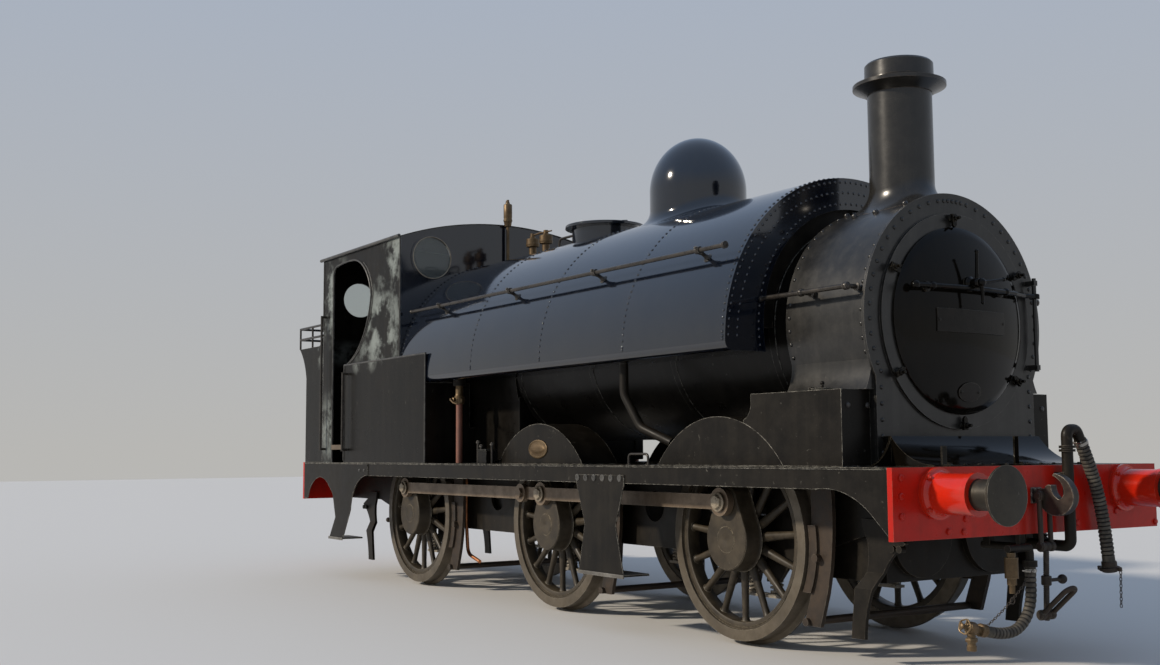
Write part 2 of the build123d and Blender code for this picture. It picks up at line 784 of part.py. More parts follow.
# Side steps hung from the valances
step_near = footplate_half - valance_inset
step_sheet = 10
tread_depth = 220
with BuildPart() as side_steps:
    for side in (-1, 1):
        plane, width = between(side, step_near, step_near + step_sheet - 2)
        with BuildSketch(plane):
            with BuildLine():
                Polyline(
                    (1223, footplate_z - valance_depth + 60),
                    (1223, footplate_z - valance_depth),
                    (1334, rail_z + 750),
                    (1250, rail_z + 390),
                    (1836, rail_z + 390),
                    (1737, rail_z + 750),
                    (1848, footplate_z - valance_depth),
                    (1848, footplate_z - valance_depth + 60),
                    close=True,
                )
            make_face()
            with BuildLine():
                Polyline(
                    (-2660, footplate_under),
                    (-2660, footplate_z - valance_depth),
                )
                ThreePointArc(
                    (-2660, footplate_z - valance_depth),
                    (-2960, rail_z + 944),
                    (-3080, rail_z + 700),
                )
                Polyline(
                    (-3080, rail_z + 700),
                    (-3280, rail_z + 390),
                    (-3640, rail_z + 390),
                    (-3480, rail_z + 613),
                    (-3560, rail_z + 856),
                    (-3672, rail_z + 941),
                )
                ThreePointArc(
                    (-3672, rail_z + 941),
                    (-3955, rail_z + 1027),
                    (-beam_back + 150, rail_z + 880),
                )
                Polyline(
                    (-beam_back + 150, rail_z + 880),
                    (-beam_back + 110, footplate_z - beam_depth + 10),
                    (-beam_back + 2, footplate_z - beam_depth + 10),
                    (-beam_back + 2, footplate_under),
                    (-2660, footplate_under),
                )
            make_face()
        extrude(amount=width)
        for x_low, x_high in ((1250, 1836), (-3640, -3280)):
            near = side * (step_near + step_sheet - 2)
            far = side * (step_near - tread_depth)
            block((x_low, x_high), (min(near, far), max(near, far)), (rail_z + 390, rail_z + 402))
save(side_steps, "side_steps")

# Splashers over the front and middle wheels
with BuildPart() as splashers:
    for axle_x in (middle_axle_x, front_axle_x):
        for side in (-1, 1):
            plane, width = between(side, side_box_inner, splasher_face)
            with BuildSketch(plane):
                with Locations((axle_x, axle_z)):
                    Circle(splasher_radius)
                with Locations((axle_x, footplate_z + splasher_radius / 2)):
                    Rectangle(2 * splasher_radius, splasher_radius, mode=Mode.INTERSECT)
            extrude(amount=width)
            plane, width = between(side, side_box_inner + splasher_sheet, splasher_face - splasher_sheet)
            with BuildSketch(plane):
                with Locations((axle_x, axle_z)):
                    Circle(splasher_radius - splasher_sheet)
                with Locations((axle_x, footplate_z + splasher_radius / 2)):
                    Rectangle(2 * splasher_radius, splasher_radius, mode=Mode.INTERSECT)
            extrude(amount=width, mode=Mode.SUBTRACT)
save(splashers, "splashers")

lid_thickness = 12
lid_pin_radius = 5
lid_knuckle_half = 13
lid_hinge_x = sandbox_lid_x - sandbox_lid_radius - 16
lid_hinge_z = sandbox_top + 12

# Sandboxes ahead of the front splashers, open at a round mouth. The back sweeps down onto the splasher.
corner_radius = 110
corner_x = sandbox_back - corner_radius
corner_reach = splasher_radius + corner_radius
corner_z = axle_z + math.sqrt(corner_reach**2 - (corner_x - front_axle_x) ** 2)
toe_x = sandbox_back - 78
seat_radius = splasher_radius + paint_gap


def above_axle(x, radius=seat_radius):
    """Height of a circle round the front axle at one place along the engine."""
    return axle_z + math.sqrt(radius**2 - (x - front_axle_x) ** 2)


def on_corner(x):
    """Height of the swept back of the sandbox at one place along the engine."""
    return corner_z - math.sqrt(corner_radius**2 - (x - corner_x) ** 2)


seat_end_x = front_axle_x + math.sqrt(seat_radius**2 - (footplate_z - axle_z) ** 2)
seat_middle_x = (toe_x + seat_end_x) / 2
corner_middle_x = (toe_x + sandbox_back) / 2 + 15
with BuildPart() as sandboxes:
    for side in (-1, 1):
        plane, width = between(side, saddle_half, splasher_face)
        with BuildSketch(plane):
            with BuildLine():
                ThreePointArc(
                    (toe_x, above_axle(toe_x)),
                    (seat_middle_x, above_axle(seat_middle_x)),
                    (seat_end_x, footplate_z),
                )
                Polyline(
                    (seat_end_x, footplate_z),
                    (sandbox_front, footplate_z),
                    (sandbox_front, sandbox_top),
                    (sandbox_back, sandbox_top),
                    (sandbox_back, corner_z),
                )
                ThreePointArc(
                    (sandbox_back, corner_z),
                    (corner_middle_x, on_corner(corner_middle_x)),
                    (toe_x, on_corner(toe_x)),
                )
                Line((toe_x, on_corner(toe_x)), (toe_x, above_axle(toe_x)))
            make_face()
        extrude(amount=width)
        block(
            (front_axle_x + splasher_radius + 60, sandbox_front - sandbox_wall),
            (
                min(side * (saddle_half + sandbox_wall), side * (splasher_face - sandbox_wall)),
                max(side * (saddle_half + sandbox_wall), side * (splasher_face - sandbox_wall)),
            ),
            (footplate_z + sandbox_wall, sandbox_top - sandbox_wall),
            mode=Mode.SUBTRACT,
        )
        rod_z(
            sandbox_mouth_radius,
            sandbox_lid_x,
            side * sandbox_lid_y,
            (sandbox_top - 2 * sandbox_wall, sandbox_top),
            mode=Mode.SUBTRACT,
        )
        for ear in (-1, 1):
            ear_y = sorted((ear * (lid_knuckle_half + 2), ear * (lid_knuckle_half + 12)))
            ear_span = [side * sandbox_lid_y + edge for edge in ear_y]
            block((lid_hinge_x - 12, lid_hinge_x + 12), ear_span, (sandbox_top - 4, lid_hinge_z + 11))
        pin_span = (side * sandbox_lid_y - lid_knuckle_half - 12, side * sandbox_lid_y + lid_knuckle_half + 12)
        rod_y(lid_pin_radius, lid_hinge_x, pin_span, lid_hinge_z)
save(sandboxes, "sandboxes")

# Sandbox lids, hinged behind the mouth
for name, side in right_and_left:
    with BuildPart() as sandbox_lid:
        lid_y = side * sandbox_lid_y
        rod_z(sandbox_lid_radius, sandbox_lid_x, lid_y, (sandbox_top + 1, sandbox_top + 1 + lid_thickness))
        rod_z(9, sandbox_lid_x, lid_y, (sandbox_top + lid_thickness, sandbox_top + 40))
        with Locations((sandbox_lid_x, lid_y, sandbox_top + 46)):
            Sphere(14)
        knuckle = (lid_y - lid_knuckle_half, lid_y + lid_knuckle_half)
        block((lid_hinge_x, sandbox_lid_x - 40), knuckle, (sandbox_top + 1, sandbox_top + 1 + lid_thickness))
        rod_y(11, lid_hinge_x, knuckle, lid_hinge_z)
        rod_y(lid_pin_radius + 0.1, lid_hinge_x, (knuckle[0] - 2, knuckle[1] + 2), lid_hinge_z, mode=Mode.SUBTRACT)
    save(sandbox_lid, f"{name}_sandbox_lid")

# Boiler barrel and firebox in their clothing, with bands
with BuildPart() as boiler:
    rod_x(boiler_radius, (firebox_front, smokebox_rear), 0, boiler_z)
    for band_x in (firebox_front + 30, 640, 1750, 2880):
        with BuildSketch(front_view(band_x)):
            with Locations((0, boiler_z)):
                Circle(boiler_radius + 4)
                Circle(boiler_radius - 10, mode=Mode.SUBTRACT)
        extrude(amount=60)
save(boiler, "boiler")


def firebox_outline(grow=0):
    """Closed line of the firebox section: round top, waisted sides and a flat foot."""
    with BuildLine() as outline:
        ThreePointArc(
            (-boiler_radius - grow, boiler_z),
            (0, boiler_z + boiler_radius + grow),
            (boiler_radius + grow, boiler_z),
        )
        for side in (1, -1):
            ThreePointArc(
                (side * (boiler_radius + grow), boiler_z),
                (side * (boiler_radius - 36 + grow), boiler_z - 340),
                (side * (firebox_waist + grow), boiler_z - 640),
            )
            Line(
                (side * (firebox_waist + grow), boiler_z - 640),
                (side * (firebox_waist + grow), firebox_bottom),
            )
        Line((-firebox_waist - grow, firebox_bottom), (firebox_waist + grow, firebox_bottom))
    return outline.edges()


with BuildPart() as firebox:
    with BuildSketch(front_view(backhead_x)):
        make_face(firebox_outline())
    extrude(amount=firebox_front - backhead_x)
    rod_x(190, (backhead_x - 40, backhead_x), 0, boiler_z - 420)
    block((backhead_x - 62, backhead_x - 38), (-150, 150), (boiler_z - 540, boiler_z - 330))
    rod_x(60, (backhead_x - 50, backhead_x), 0, boiler_z + 330)
    rod_x(18, (backhead_x - 120, backhead_x), 0, boiler_z + 330)
    block((backhead_x - 120, backhead_x - 98), (-16, 16), (boiler_z + 40, boiler_z + 345))
    for side in (-1, 1):
        for fitting_z in (boiler_z + 60, boiler_z + 300):
            rod_x(26, (backhead_x - 90, backhead_x), side * 190, fitting_z)
        rod_z(14, backhead_x - 70, side * 190, (boiler_z + 50, boiler_z + 310))
        rod_x(46, (backhead_x - 60, backhead_x), side * 380, boiler_z - 40)
        rod_x(12, (backhead_x - 170, backhead_x), side * 380, boiler_z - 40)
        rod_x(52, (backhead_x - 182, backhead_x - 168), side * 380, boiler_z - 40)
    block((backhead_x - 150, backhead_x), (-300, 300), (boiler_z - 190, boiler_z - 178))
save(firebox, "firebox")

# Smokebox: shell, riveted front plate, door ring and saddle
flare_z = boiler_z - 260
with BuildPart() as smokebox:
    with BuildSketch(front_view(smokebox_rear)):
        with Locations((0, boiler_z)):
            Circle(smokebox_radius)
        with BuildLine():
            Polyline((-765, flare_z), (765, flare_z))
            ThreePointArc((765, flare_z), (778, boiler_z - 370), (815, sandbox_top + 1))
            Polyline(
                (815, sandbox_top + 1),
                (saddle_half, sandbox_top + 1),
                (saddle_half, footplate_z),
                (-saddle_half, footplate_z),
                (-saddle_half, sandbox_top + 1),
                (-815, sandbox_top + 1),
            )
            ThreePointArc((-815, sandbox_top + 1), (-778, boiler_z - 370), (-765, flare_z))
        make_face()
    extrude(amount=smokebox_front - front_plate_thickness - smokebox_rear)
    with BuildSketch(front_view(smokebox_front - front_plate_thickness)):
        with Locations((0, boiler_z)):
            Circle(front_plate_radius)
        with Locations((0, (footplate_z + boiler_z) / 2)):
            Rectangle(2 * (saddle_half + 10), boiler_z - footplate_z)
    extrude(amount=front_plate_thickness)
    with BuildSketch(front_view(smokebox_front)):
        with Locations((0, boiler_z)):
            Circle(door_ring_radius)
    extrude(amount=door_ring_thickness)
    rod_x(
        smokebox_radius - smokebox_wall,
        (smokebox_rear + 20, smokebox_front - front_plate_thickness),
        0,
        boiler_z,
        mode=Mode.SUBTRACT,
    )
    rod_x(
        door_opening,
        (smokebox_front - 2 * front_plate_thickness, smokebox_front + door_ring_thickness),
        0,
        boiler_z,
        mode=Mode.SUBTRACT,
    )
    rod_z(chimney_bore, chimney_x, 0, (boiler_z + 400, boiler_z + smokebox_radius + 10), mode=Mode.SUBTRACT)
    rod_y(
        splasher_radius + paint_gap,
        front_axle_x,
        (-footplate_half, -side_box_inner + paint_gap),
        axle_z,
        mode=Mode.SUBTRACT,
    )
    rod_y(
        splasher_radius + paint_gap,
        front_axle_x,
        (side_box_inner - paint_gap, footplate_half),
        axle_z,
        mode=Mode.SUBTRACT,
    )
    for lug_z in (boiler_z - 300, boiler_z + 270):
        block((smokebox_front, door_hinge_x + 16), (door_hinge_y - 16, door_hinge_y + 16), (lug_z, lug_z + 34))
    rod_z(hinge_rod_radius, door_hinge_x, door_hinge_y, (boiler_z - 310, boiler_z + 320))
save(smokebox, "smokebox")

# Smokebox door: a dished plate on one cross strap that reaches to the hinge rod
door_back = smokebox_front + door_ring_thickness + door_gap
strap_z = boiler_z + 195
strap_half = 26
with BuildPart() as smokebox_door:
    door_plane = Plane(origin=(door_back, 0, boiler_z), x_dir=(1, 0, 0), z_dir=(0, -1, 0))
    with BuildSketch(door_plane):
        with BuildLine():
            Line((0, door_radius), (door_sheet + 6, door_radius))
            ThreePointArc((door_sheet + 6, door_radius), (door_dish * 0.72, 330), (door_dish, 0))
            Line((door_dish, 0), (door_dish - door_sheet, 0))
            ThreePointArc((door_dish - door_sheet, 0), (door_dish * 0.72 - door_sheet, 320), (0, door_opening - 20))
            Line((0, door_opening - 20), (0, door_radius))
        make_face()
    revolve(axis=Axis((0, 0, boiler_z), (1, 0, 0)))
    strap_bulge = door_back + door_dish + 26
    with BuildSketch(Plane.XY.offset(strap_z - strap_half)):
        with BuildLine():
            ThreePointArc((door_back + 16, door_radius - 30), (strap_bulge - 12, 300), (strap_bulge - 4, 0))
            Line((strap_bulge - 4, 0), (strap_bulge - 18, -470))
            Line((strap_bulge - 18, -470), (strap_bulge - 50, -470))
            Line((strap_bulge - 50, -470), (strap_bulge - 36, 0))
            ThreePointArc((strap_bulge - 36, 0), (strap_bulge - 46, 300), (door_back + 6, door_radius - 90))
            Line((door_back + 6, door_radius - 90), (door_back + 16, door_radius - 30))
        make_face()
    extrude(amount=2 * strap_half)
    with BuildSketch(Plane.XY.offset(strap_z - strap_half)):
        with Locations(((door_back + 22 + door_hinge_x) / 2, (door_radius - 60 + door_hinge_y) / 2)):
            Rectangle(30, door_hinge_y - door_radius + 100)
        with Locations((door_hinge_x, door_hinge_y)):
            Circle(hinge_rod_radius + 14)
        with Locations((door_hinge_x, door_hinge_y)):
            Circle(hinge_rod_radius + 0.1, mode=Mode.SUBTRACT)
    extrude(amount=2 * strap_half)
    rod_x(40, (door_back + door_dish - door_sheet - 6, door_back + door_dish + 5), 0, boiler_z)
    handle_z = strap_z + 34
    handle_x = door_back + door_dish + 26
    rod_x(30, (handle_x - 70, handle_x + 44), 0, handle_z)
    rod_x(14, (handle_x + 44, handle_x + 84), 0, handle_z)
    block((handle_x + 20, handle_x + 38), (-11, 11), (handle_z, handle_z + 200))
    with BuildSketch(front_view(handle_x + 56)):
        Polygon(
            (-11, handle_z - 10),
            (-11, handle_z - 130),
            (11, handle_z - 130),
            (11, handle_z - 10),
            (214, handle_z + 22),
            (212, handle_z + 42),
            (-11, handle_z + 12),
            align=None,
        )
    extrude(amount=16)
    for post_y in (-360, 330):
        rod_x(17, (strap_bulge - 78, strap_bulge - 28), post_y, strap_z)
    with Locations((strap_bulge - 34, -492, strap_z)):
        Sphere(31)
save(smokebox_door, "smokebox_door")

# Chimney: cast flare on the smokebox, plain barrel, wide lip and cap
with BuildPart() as chimney:
    rod_z(chimney_radius, chimney_x, 0, (boiler_z, chimney_lip_z - 40))
    rod_x(smokebox_radius, (chimney_x - 500, chimney_x + 500), 0, boiler_z)
    saddle_edges = chimney.edges().filter_by(lambda e: e.geom_type not in (GeomType.CIRCLE, GeomType.LINE))
    fillet(saddle_edges, radius=chimney_flare)
    with BuildSketch(Plane.XY.offset(boiler_z)):
        with Locations((chimney_x, 0)):
            Circle(chimney_radius + chimney_flare)
    extrude(amount=chimney_top - boiler_z + 200, mode=Mode.INTERSECT)
    rod_x(smokebox_radius + paint_gap, (chimney_x - 600, chimney_x + 600), 0, boiler_z, mode=Mode.SUBTRACT)
    cap_plane = Plane(origin=(chimney_x, 0, 0), x_dir=(1, 0, 0), z_dir=(0, -1, 0))
    with BuildSketch(cap_plane):
        with BuildLine():
            Polyline((0, chimney_lip_z - 60), (chimney_radius + 8, chimney_lip_z - 60))
            ThreePointArc(
                (chimney_radius + 8, chimney_lip_z - 60),
                (chimney_radius + 50, chimney_lip_z - 34),
                (chimney_lip_radius, chimney_lip_z - 12),
            )
            Polyline(
                (chimney_lip_radius, chimney_lip_z - 12),
                (chimney_lip_radius, chimney_lip_z + 12),
                (chimney_radius + 16, chimney_lip_z + 44),
                (chimney_radius + 14, chimney_top - 14),
                (chimney_radius + 2, chimney_top),
                (0, chimney_top),
                (0, chimney_lip_z - 60),
            )
        make_face()
    revolve(axis=Axis((chimney_x, 0, 0), (0, 0, 1)))
    rod_z(chimney_bore, chimney_x, 0, (boiler_z + 200, chimney_top), mode=Mode.SUBTRACT)
save(chimney, "chimney")

# Saddle tank
arch_half = math.sqrt(tank_arch**2 - (boiler_z - tank_bottom) ** 2)
with BuildPart() as saddle_tank:
    with BuildSketch(front_view(tank_rear)):
        with BuildLine():
            ThreePointArc((tank_radius, tank_centre_z), (0, tank_top), (-tank_radius, tank_centre_z))
            ThreePointArc((-arch_half, tank_bottom), (0, boiler_z + tank_arch), (arch_half, tank_bottom))
            for side in (-1, 1):
                Line((side * arch_half, tank_bottom), (side * (tank_radius - tank_bend), tank_bottom))
                ThreePointArc(
                    (side * (tank_radius - tank_bend), tank_bottom),
                    (
                        side * (tank_radius - tank_bend * (1 - math.sqrt(0.5))),
                        tank_bottom + tank_bend * (1 - math.sqrt(0.5)),
                    ),
                    (side * tank_radius, tank_bottom + tank_bend),
                )
        make_face()
    extrude(amount=tank_front - tank_rear)
save(saddle_tank, "saddle_tank")

# Arched brackets that carry the tank on the boiler
bracket_length = 60
with BuildPart() as tank_brackets:
    for bracket_x in (-300, 1300, 2860):
        with BuildSketch(front_view(bracket_x)):
            with Locations((0, boiler_z)):
                Circle(tank_arch - paint_gap)
                Circle(boiler_radius + 4 + paint_gap, mode=Mode.SUBTRACT)
            with Locations((0, boiler_z + tank_arch / 2)):
                Rectangle(2 * tank_arch, tank_arch, mode=Mode.INTERSECT)
        extrude(amount=bracket_length)
save(tank_brackets, "tank_brackets")

# Dome
with BuildPart() as dome:
    rod_z(dome_radius, dome_x, 0, (tank_centre_z + 600, dome_shoulder_z))
    rod_x(tank_radius, (dome_x - 620, dome_x + 620), 0, tank_centre_z)
    saddle_edges = dome.edges().filter_by(lambda e: e.geom_type not in (GeomType.CIRCLE, GeomType.LINE))
    fillet(saddle_edges, radius=dome_flare)
    with BuildSketch(Plane.XY.offset(tank_centre_z)):
        with Locations((dome_x, 0)):
            Circle(dome_radius + dome_flare)
    extrude(amount=2 * tank_radius, mode=Mode.INTERSECT)
    rod_x(tank_radius + paint_gap, (dome_x - 700, dome_x + 700), 0, tank_centre_z, mode=Mode.SUBTRACT)
    dome_plane = Plane(origin=(dome_x, 0, dome_shoulder_z), x_dir=(1, 0, 0), z_dir=(0, -1, 0))
    with BuildSketch(dome_plane):
        with BuildLine():
            EllipticalCenterArc((0, 0), dome_radius, dome_height, start_angle=0, arc_size=90)
            Polyline((0, dome_height), (0, 0), (dome_radius, 0))
        make_face()
    revolve(axis=Axis((dome_x, 0, 0), (0, 0, 1)))
save(dome, "dome")

# Tank filler with its hinged lid
filler_hinge_x = filler_x - filler_lid_radius - 18
with BuildPart() as filler:
    rod_z(filler_radius, filler_x, 0, (tank_top - 140, filler_top))
    rod_z(filler_radius - filler_wall, filler_x, 0, (tank_top + 8, filler_top), mode=Mode.SUBTRACT)
    rod_x(tank_radius + paint_gap, (filler_x - 400, filler_x + 400), 0, tank_centre_z, mode=Mode.SUBTRACT)
    for side in (-1, 1):
        block(
            (filler_hinge_x - 16, filler_x - filler_radius + 14),
            (side * 60 - 10, side * 60 + 10),
            (filler_top - 60, filler_top - 2),
        )
    rod_y(10, filler_hinge_x, (-70, 70), filler_top - 14)
save(filler, "filler")

with BuildPart() as filler_lid:
    rod_z(filler_lid_radius, filler_x, 0, (filler_top + 1, filler_top + 1 + filler_lid_thickness))
    block((filler_hinge_x - 8, filler_x), (-34, 34), (filler_top + 1, filler_top + 1 + filler_lid_thickness))
    rod_y(22, filler_hinge_x, (-34, 34), filler_top - 14)
    block((filler_hinge_x - 22, filler_hinge_x + 10), (-34, 34), (filler_top - 14, filler_top + 10))
    rod_y(10.1, filler_hinge_x, (-40, 40), filler_top - 14, mode=Mode.SUBTRACT)
save(filler_lid, "filler_lid")

# Safety valve pillars and whistle
with BuildPart() as safety_valves:
    for valve_x in valve_places:
        rod_z(38, valve_x, 0, (tank_top - 20, tank_top + 170))
        rod_z(64, valve_x, 0, (tank_top + 120, tank_top + 196))
        rod_z(24, valve_x, 0, (tank_top + 196, tank_top + 252))
        rod_z(80, valve_x, 0, (tank_top - 20, tank_top + 14))
    rod_x(tank_radius + paint_gap, (valve_places[0] - 200, valve_places[1] + 200), 0, tank_centre_z, mode=Mode.SUBTRACT)
    rod_z(26, heating_x, relief_y, (heating_z - 50, heating_z - 22.3))
    rod_z(40, heating_x, relief_y, (heating_z - 170, heating_z - 50))
    rod_z(28, heating_x, relief_y, (heating_z - 208, heating_z - 170))
    rod_z(18, heating_x, relief_y, (heating_z - 256, heating_z - 208))
save(safety_valves, "safety_valves")

whistle_x = cab_front + 46
with BuildPart() as whistle:
    rod_z(16, whistle_x, 0, (tank_top - 10, rail_z + 3640))
    rod_z(34, whistle_x, 0, (rail_z + 3640, rail_z + 3665))
    rod_z(46, whistle_x, 0, (rail_z + 3665, rail_z + 3672))
    rod_z(12, whistle_x, 0, (rail_z + 3672, rail_z + 3684))
    rod_z(42, whistle_x, 0, (rail_z + 3684, rail_z + 3840))
    rod_z(14, whistle_x, 0, (rail_z + 3840, rail_z + 3890))
    rod_x(tank_radius + paint_gap, (whistle_x - 40, whistle_x + 60), 0, tank_centre_z, mode=Mode.SUBTRACT)
save(whistle, "whistle")


# Cab roof, with the line of its underside for the sheets below it
def under_roof(x_low, x_high):
    """Cut away what stands above the underside of the roof."""
    with BuildSketch(front_view(x_low)) as section:
        with Locations((0, roof_crown - roof_radius)):
            Circle(roof_radius - roof_sheet - paint_gap)
    extrude(section.sketch, amount=x_high - x_low, mode=Mode.INTERSECT)


roof_front = cab_front + 12
roof_back = cab_back - 20
with BuildPart() as cab_roof:
    with BuildSketch(front_view(roof_back)):
        with Locations((0, roof_crown - roof_radius)):
            Circle(roof_radius)
            Circle(roof_radius - roof_sheet, mode=Mode.SUBTRACT)
        with Locations((0, roof_crown)):
            Rectangle(2 * cab_half + 12, 900, mode=Mode.INTERSECT)
    extrude(amount=roof_front - roof_back)
save(cab_roof, "cab_roof")


# Cab side sheets, each with its doorway. The low panel beside the firebox stands proud of the upper sheet.
for name, side in right_and_left:
    with BuildPart() as cab_side:
        plane, width = between(side, cab_half - cab_sheet, cab_half)
        with BuildSketch(plane):
            with Locations(((cab_front + cab_back) / 2, (footplate_z + roof_crown) / 2)):
                Rectangle(cab_front - cab_back, roof_crown - footplate_z)
            with BuildLine():
                Line((door_rear_x, footplate_z), (door_rear_x, rail_z + 3200))
                ThreePointArc(
                    (door_rear_x, rail_z + 3200),
                    (door_rear_x + 28, rail_z + 3276),
                    (door_rear_x + 100, rail_z + 3308),
                )
                ThreePointArc(
                    (door_rear_x + 100, rail_z + 3308),
                    (cab_front - 1350, rail_z + 3326),
                    (cab_front - 1130, rail_z + 3322),
                )
                ThreePointArc(
                    (cab_front - 1130, rail_z + 3322),
                    (cab_front - 852, rail_z + 3203),
                    (cab_front - 680, rail_z + 2906),
                )
                ThreePointArc(
                    (cab_front - 680, rail_z + 2906),
                    (cab_front - 790, rail_z + 2600),
                    (side_box_back, side_box_top),
                )
                Line((side_box_back, side_box_top), (side_box_back, footplate_z))
                Line((side_box_back, footplate_z), (door_rear_x, footplate_z))
            make_face(mode=Mode.SUBTRACT)
            with Locations(((side_box_back + cab_front) / 2, (footplate_z + side_box_top) / 2)):
                Rectangle(cab_front - side_box_back + 2, side_box_top - footplate_z, mode=Mode.SUBTRACT)
        extrude(amount=width)
        under_roof(cab_back, cab_front)
    save(cab_side, f"cab_side_{name}")

    with BuildPart() as side_box:
        panel = between(side, side_box_half - cab_sheet + 2, side_box_half)
        with BuildSketch(panel[0]):
            with Locations(((side_box_back + side_box_front) / 2, (footplate_z + side_box_top) / 2)):
                Rectangle(side_box_front - side_box_back, side_box_top - footplate_z)
        extrude(amount=panel[1])
        low_wall_top = axle_z + splasher_radius
        high_wall_front = backhead_x - 20
        ledge = sorted((side * side_box_inner, side * side_box_half))
        narrow_ledge = sorted((side * (boiler_radius + 14), side * side_box_half))
        wall = sorted((side * side_box_inner, side * (side_box_inner + 8)))
        block((side_box_back, high_wall_front), ledge, (side_box_top - 8, side_box_top))
        block((high_wall_front - 8, cab_front - cab_sheet), narrow_ledge, (side_box_top - 8, side_box_top))
        block((side_box_back, high_wall_front), wall, (footplate_z, side_box_top))
        block((high_wall_front - 8, high_wall_front), ledge, (low_wall_top, side_box_top))
        block((high_wall_front - 8, side_box_front), wall, (footplate_z, low_wall_top))
        block((side_box_back, side_box_back + 8), ledge, (footplate_z, side_box_top))
        end_wall = sorted((side * side_box_inner, side * side_box_half))
        block((side_box_front - 8, side_box_front), end_wall, (footplate_z, low_wall_top))
        end_wall = sorted((side * (boiler_radius + 14), side * side_box_half))
        block((side_box_front - 8, side_box_front), end_wall, (low_wall_top, tank_bottom - 1))
    save(side_box, f"side_box_{name}")

# Cab front with its two round windows, cut round the firebox
with BuildPart() as cab_front_sheet:
    with BuildSketch(front_view(cab_front - cab_sheet)):
        with Locations((0, (footplate_z + roof_crown) / 2)):
            Rectangle(2 * (cab_half - cab_sheet), roof_crown - footplate_z)
    extrude(amount=cab_sheet)
    with BuildSketch(front_view(cab_front - cab_sheet)):
        make_face(firebox_outline(1))
    extrude(amount=cab_sheet, mode=Mode.SUBTRACT)
    with BuildSketch(front_view(cab_front - cab_sheet)):
        with Locations((-spectacle_y, spectacle_z), (spectacle_y, spectacle_z)):
            Circle(spectacle_radius)
    extrude(amount=cab_sheet, mode=Mode.SUBTRACT)
    for side in (-1, 1):
        box_space = sorted((side * (side_box_inner - 1), side * cab_half))
        block(
            (cab_front - cab_sheet, cab_front),
            box_space,
            (footplate_z, axle_z + splasher_radius + 1),
            mode=Mode.SUBTRACT,
        )
    under_roof(cab_front - cab_sheet, cab_front)
    with BuildSketch(front_view(cab_front)):
        for side in (-1, 1):
            with Locations((side * spectacle_y, spectacle_z)):
                Circle(spectacle_radius + rim_width)
                Circle(spectacle_radius, mode=Mode.SUBTRACT)
    extrude(amount=rim_thickness)
save(cab_front_sheet, "cab_front")

# Cab rear with two round windows and the shovelling hole
with BuildPart() as cab_rear:
    with BuildSketch(front_view(cab_back)):
        with Locations((0, (footplate_z + roof_crown) / 2)):
            Rectangle(2 * (cab_half - cab_sheet), roof_crown - footplate_z)
        with Locations((-rear_window_y, rear_window_z), (rear_window_y, rear_window_z)):
            Circle(rear_window_radius, mode=Mode.SUBTRACT)
        with Locations((0, cab_floor_z + 330)):
            Rectangle(560, 460, mode=Mode.SUBTRACT)
    extrude(amount=cab_sheet)
    under_roof(cab_back, cab_back + cab_sheet)
    with BuildSketch(front_view(cab_back - rim_thickness)):
        for side in (-1, 1):
            with Locations((side * rear_window_y, rear_window_z)):
                Circle(rear_window_radius + rim_width)
                Circle(rear_window_radius, mode=Mode.SUBTRACT)
    extrude(amount=rim_thickness)
save(cab_rear, "cab_rear")

# Window glass
with BuildPart() as window_glass:
    for side in (-1, 1):
        rod_x(spectacle_radius - paint_gap, (cab_front - 8, cab_front - 2), side * spectacle_y, spectacle_z)
        rod_x(rear_window_radius - paint_gap, (cab_back + 2, cab_back + 8), side * rear_window_y, rear_window_z)
save(window_glass, "window_glass")

# Cab floor of boards on bearers, with a footboard at each doorway
with BuildPart() as cab_floor:
    floor_level = (cab_floor_z - floor_thickness, cab_floor_z)
    block((cab_back + cab_sheet, backhead_x), (-side_box_inner, side_box_inner), floor_level)
    for side in (-1, 1):
        gangway = sorted((side * (side_box_inner - 10), side * (cab_half + 12)))
        block((door_rear_x + 1, side_box_back - 1), gangway, floor_level)
        for bearer_x in (cab_back + 100, door_rear_x + 60, side_box_back - 120, backhead_x - 200):
            bearer = sorted((side * (frame_half - 20), side * (side_box_inner - 2)))
            block((bearer_x, bearer_x + 60), bearer, (footplate_z, cab_floor_z - floor_thickness))
save(cab_floor, "cab_floor")

